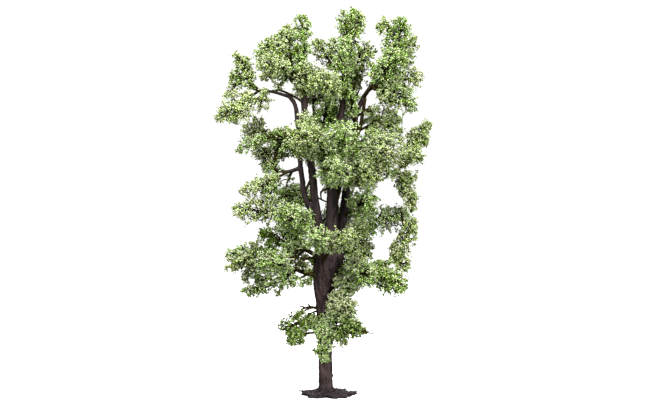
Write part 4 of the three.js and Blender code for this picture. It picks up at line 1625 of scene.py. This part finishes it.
    def flake_corners(self, places: np.ndarray, ways: np.ndarray, rng: np.random.Generator) -> np.ndarray:
        """The corners of closed, cupped flakes, each of its own outline.

        Args:
            places: Where the flakes are.
            ways: The ways that they face.
            rng: The stream of random numbers.

        Returns:
            For each flake its rim's corners, then the middle of its upper face.
        """
        rule = self.rule
        count = len(places)
        beside = unit(np.cross(ways, rng.normal(0, 1, (count, 3))))
        along = np.cross(beside, ways)
        size = rng.uniform(*rule.flake_sizes, (count, 1))
        angles = 2 * math.pi * np.arange(rule.flake_corners) / rule.flake_corners
        uneven = size * rng.uniform(*rule.flake_uneven, (count, rule.flake_corners)) / 2
        rim = (
            (rule.flake_length * uneven * np.cos(angles))[..., None] * along[:, None]
            + (rule.flake_width * uneven * np.sin(angles))[..., None] * beside[:, None]
            - (rule.flake_cup * size)[..., None] * ways[:, None]
        )
        crest = np.zeros((count, 1, 3))
        return places[:, None] + np.concatenate([rim, crest], axis=1)

    def flake_mesh(self, corners: np.ndarray) -> tuple[np.ndarray, list[np.ndarray]]:
        """Flakes as one mesh: a fan of faces above each rim and one face below."""
        sides = self.rule.flake_corners
        rim = np.arange(sides)
        fan = np.stack([rim, (rim + 1) % sides, np.full(sides, sides)], axis=1)
        starts = (np.arange(len(corners)) * (sides + 1))[:, None]
        above = (fan[None] + starts[..., None]).reshape(-1, 3)
        return corners.reshape(-1, 3), [above, rim[::-1] + starts]

    def dress(self, twigs: bpy.types.Object, flock: dict[Tone, bpy.types.Object]) -> None:
        """Gives the twigs and the flakes their finishes."""
        nodes = [f"foliage_{mass.name}" for mass in MASSES]
        finish_piece(twigs, TWIGS.material(), nodes)
        for tone, piece in flock.items():
            finish_piece(piece, tone.value.material(), nodes)


def joined(rows: Sequence[tuple[np.ndarray, ...]]) -> list[np.ndarray]:
    """Joins rows of arrays, column by column."""
    return [np.concatenate(column) for column in zip(*rows)]


def bars(points: np.ndarray, radii: np.ndarray, sides: int) -> tuple[np.ndarray, list[np.ndarray]]:
    """Many closed bars, each along a row of points.

    Args:
        points: The points of each bar.
        radii: Its radius at each.
        sides: Corners in a ring.

    Returns:
        All corners, and arrays of faces.
    """
    count, steps, _ = points.shape
    way = unit(points[:, -1] - points[:, 0])
    helper = np.where(np.abs(way[:, 2:]) > STEEP, ASIDE, UP)
    across = unit(np.cross(way, helper))
    beside = np.cross(way, across)
    angles = 2 * math.pi * np.arange(sides) / sides
    ring = np.cos(angles)[:, None] * across[:, None] + np.sin(angles)[:, None] * beside[:, None]
    corners = points[:, :, None] + radii[:, :, None, None] * ring[:, None]
    index = np.arange(count * steps * sides).reshape(count, steps, sides)
    turned = np.roll(index, -1, axis=2)
    walls = np.stack([index[:, :-1], turned[:, :-1], turned[:, 1:], index[:, 1:]], axis=-1)
    return corners.reshape(-1, 3), [walls.reshape(-1, 4), index[:, 0, ::-1], index[:, -1]]


def cones(feet: np.ndarray, tips: np.ndarray, radius: float) -> tuple[np.ndarray, list[np.ndarray]]:
    """Many three-sided cones.

    Args:
        feet: The middle of each one's foot.
        tips: Its tip.
        radius: The radius at the foot.

    Returns:
        All corners, and arrays of faces.
    """
    points = np.stack([feet, tips], axis=1)
    radii = np.tile([radius, 0], (len(feet), 1))
    corners, _ = bars(points, radii, 3)
    # Of a bar's two rings of three, the second lies in one point, and one of its corners is enough.
    corners = corners.reshape(-1, 6, 3)[:, :4].reshape(-1, 3)
    faces = np.array([[0, 1, 3], [1, 2, 3], [2, 0, 3], [2, 1, 0]])
    starts = 4 * np.arange(len(feet))[:, None, None]
    return corners, [(faces[None] + starts).reshape(-1, 3)]


@dataclass(frozen=True)
class SoftLight:
    """A square light: its name, where it hangs, its side and its power."""

    name: str
    place: Place
    size: float
    watts: float


LIGHTS = (
    SoftLight("key", (-360, -560, 720), 460, 17.0),
    SoftLight("top", (40, -160, 800), 600, 14.0),
    SoftLight("fill", (560, -620, 260), 460, 11.5),
    SoftLight("back", (-150, 700, 500), 460, 7.0),
)


@dataclass
class Studio:
    """A pale floor, soft light and the camera.

    Attributes:
        distance: From the camera to the trunk.
        height: Of the camera.
        aside: Of the camera, to the right.
        lens_mm: Its focal length.
        sensor_mm: The width of its sensor.
        nearest: What lies nearer to it isn't seen.
        aim: Where the lights point.
        floor_radius: Of the floor.
        floor_drop: How far the floor lies below the plate.
        floor_colour: Its colour.
        floor_glow: How brightly it shines by itself, so that it is white.
        world_light: How brightly the surroundings light the tree.
        world_seen: How bright they look.
    """

    distance: float = 700
    height: float = 95
    aside: float = -2.8
    lens_mm: float = 79.7
    sensor_mm: float = 36
    nearest: float = 10
    aim: Place = (0, 0, 105)
    floor_radius: float = 4000
    floor_drop: float = 0.1
    floor_colour: str = "#d8d8d8"
    floor_glow: float = 0.85
    world_light: float = 0.6
    world_seen: float = 1.1

    def build(self) -> None:
        """Makes the camera, the floor, the lights and the world."""
        self.add_camera()
        self.add_floor()
        for light in LIGHTS:
            self.add_light(light)
        self.add_world()
        bpy.context.scene.view_settings.view_transform = "Standard"

    def add_camera(self) -> None:
        """Places the camera level with the middle of the tree."""
        camera = bpy.data.cameras.new("camera")
        camera.lens = self.lens_mm
        camera.sensor_width = self.sensor_mm
        holder = bpy.data.objects.new("camera", camera)
        holder.location = Vector((self.aside, -self.distance, self.height)) * MM
        holder.rotation_euler = (math.pi / 2, 0, 0)
        camera.clip_start = self.nearest * MM
        bpy.context.scene.collection.objects.link(holder)
        bpy.context.scene.camera = holder

    def add_floor(self) -> None:
        """Lays a white floor under the tree."""
        shape = bmesh.new()
        below = Matrix.Translation((0, 0, -self.floor_drop * MM))
        radius = self.floor_radius * MM
        bmesh.ops.create_circle(shape, cap_ends=True, segments=96, radius=radius, matrix=below)
        floor = piece_from_bmesh("floor", shape)
        material = bpy.data.materials.new("white_floor")
        tree = blank_tree(material)
        surface = add_node(
            tree,
            "ShaderNodeBsdfPrincipled",
            {
                "Base Color": linear(self.floor_colour),
                "Roughness": 0.9,
                "Emission Color": linear("#ffffff"),
                "Emission Strength": self.floor_glow,
            },
        )
        add_node(tree, "ShaderNodeOutputMaterial", {"Surface": surface.outputs["BSDF"]})
        floor.data.materials.append(material)
        floor.visible_diffuse = False
        floor.visible_glossy = False

    def add_light(self, light: SoftLight) -> None:
        """Hangs a soft square light that points at the crown."""
        lamp = bpy.data.lights.new(light.name, "AREA")
        lamp.size = light.size * MM
        lamp.energy = light.watts
        holder = bpy.data.objects.new(light.name, lamp)
        holder.location = Vector(light.place) * MM
        way = Vector(self.aim) * MM - holder.location
        holder.rotation_euler = way.to_track_quat("-Z", "Y").to_euler()
        bpy.context.scene.collection.objects.link(holder)

    def add_world(self) -> None:
        """Surrounds the scene with plain white."""
        world = bpy.data.worlds.new("studio")
        tree = blank_tree(world)
        seen = add_node(tree, "ShaderNodeLightPath", {}).outputs["Is Camera Ray"]
        strength = add_node(
            tree, "ShaderNodeMapRange", {"Value": seen, "To Min": self.world_light, "To Max": self.world_seen}
        ).outputs["Result"]
        light = add_node(tree, "ShaderNodeBackground", {"Color": linear("#ffffff"), "Strength": strength})
        add_node(tree, "ShaderNodeOutputWorld", {"Surface": light.outputs["Background"]})
        bpy.context.scene.world = world


def write_sizes() -> None:
    """Brings the scene's placements up to date."""
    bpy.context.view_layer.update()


def main() -> None:
    """Builds the tree piece by piece, and the studio round it."""
    logging.basicConfig(level=logging.INFO, format="%(message)s")
    Studio().build()
    armature = Armature()
    armature.dress(armature.build())
    plate = RootPlate()
    plate.dress(plate.build())
    crown = Crown(armature)
    crown.grow()
    crown.dress(crown.build_twigs(), crown.build_flock())
    write_sizes()


if __name__ == "__main__":
    main()
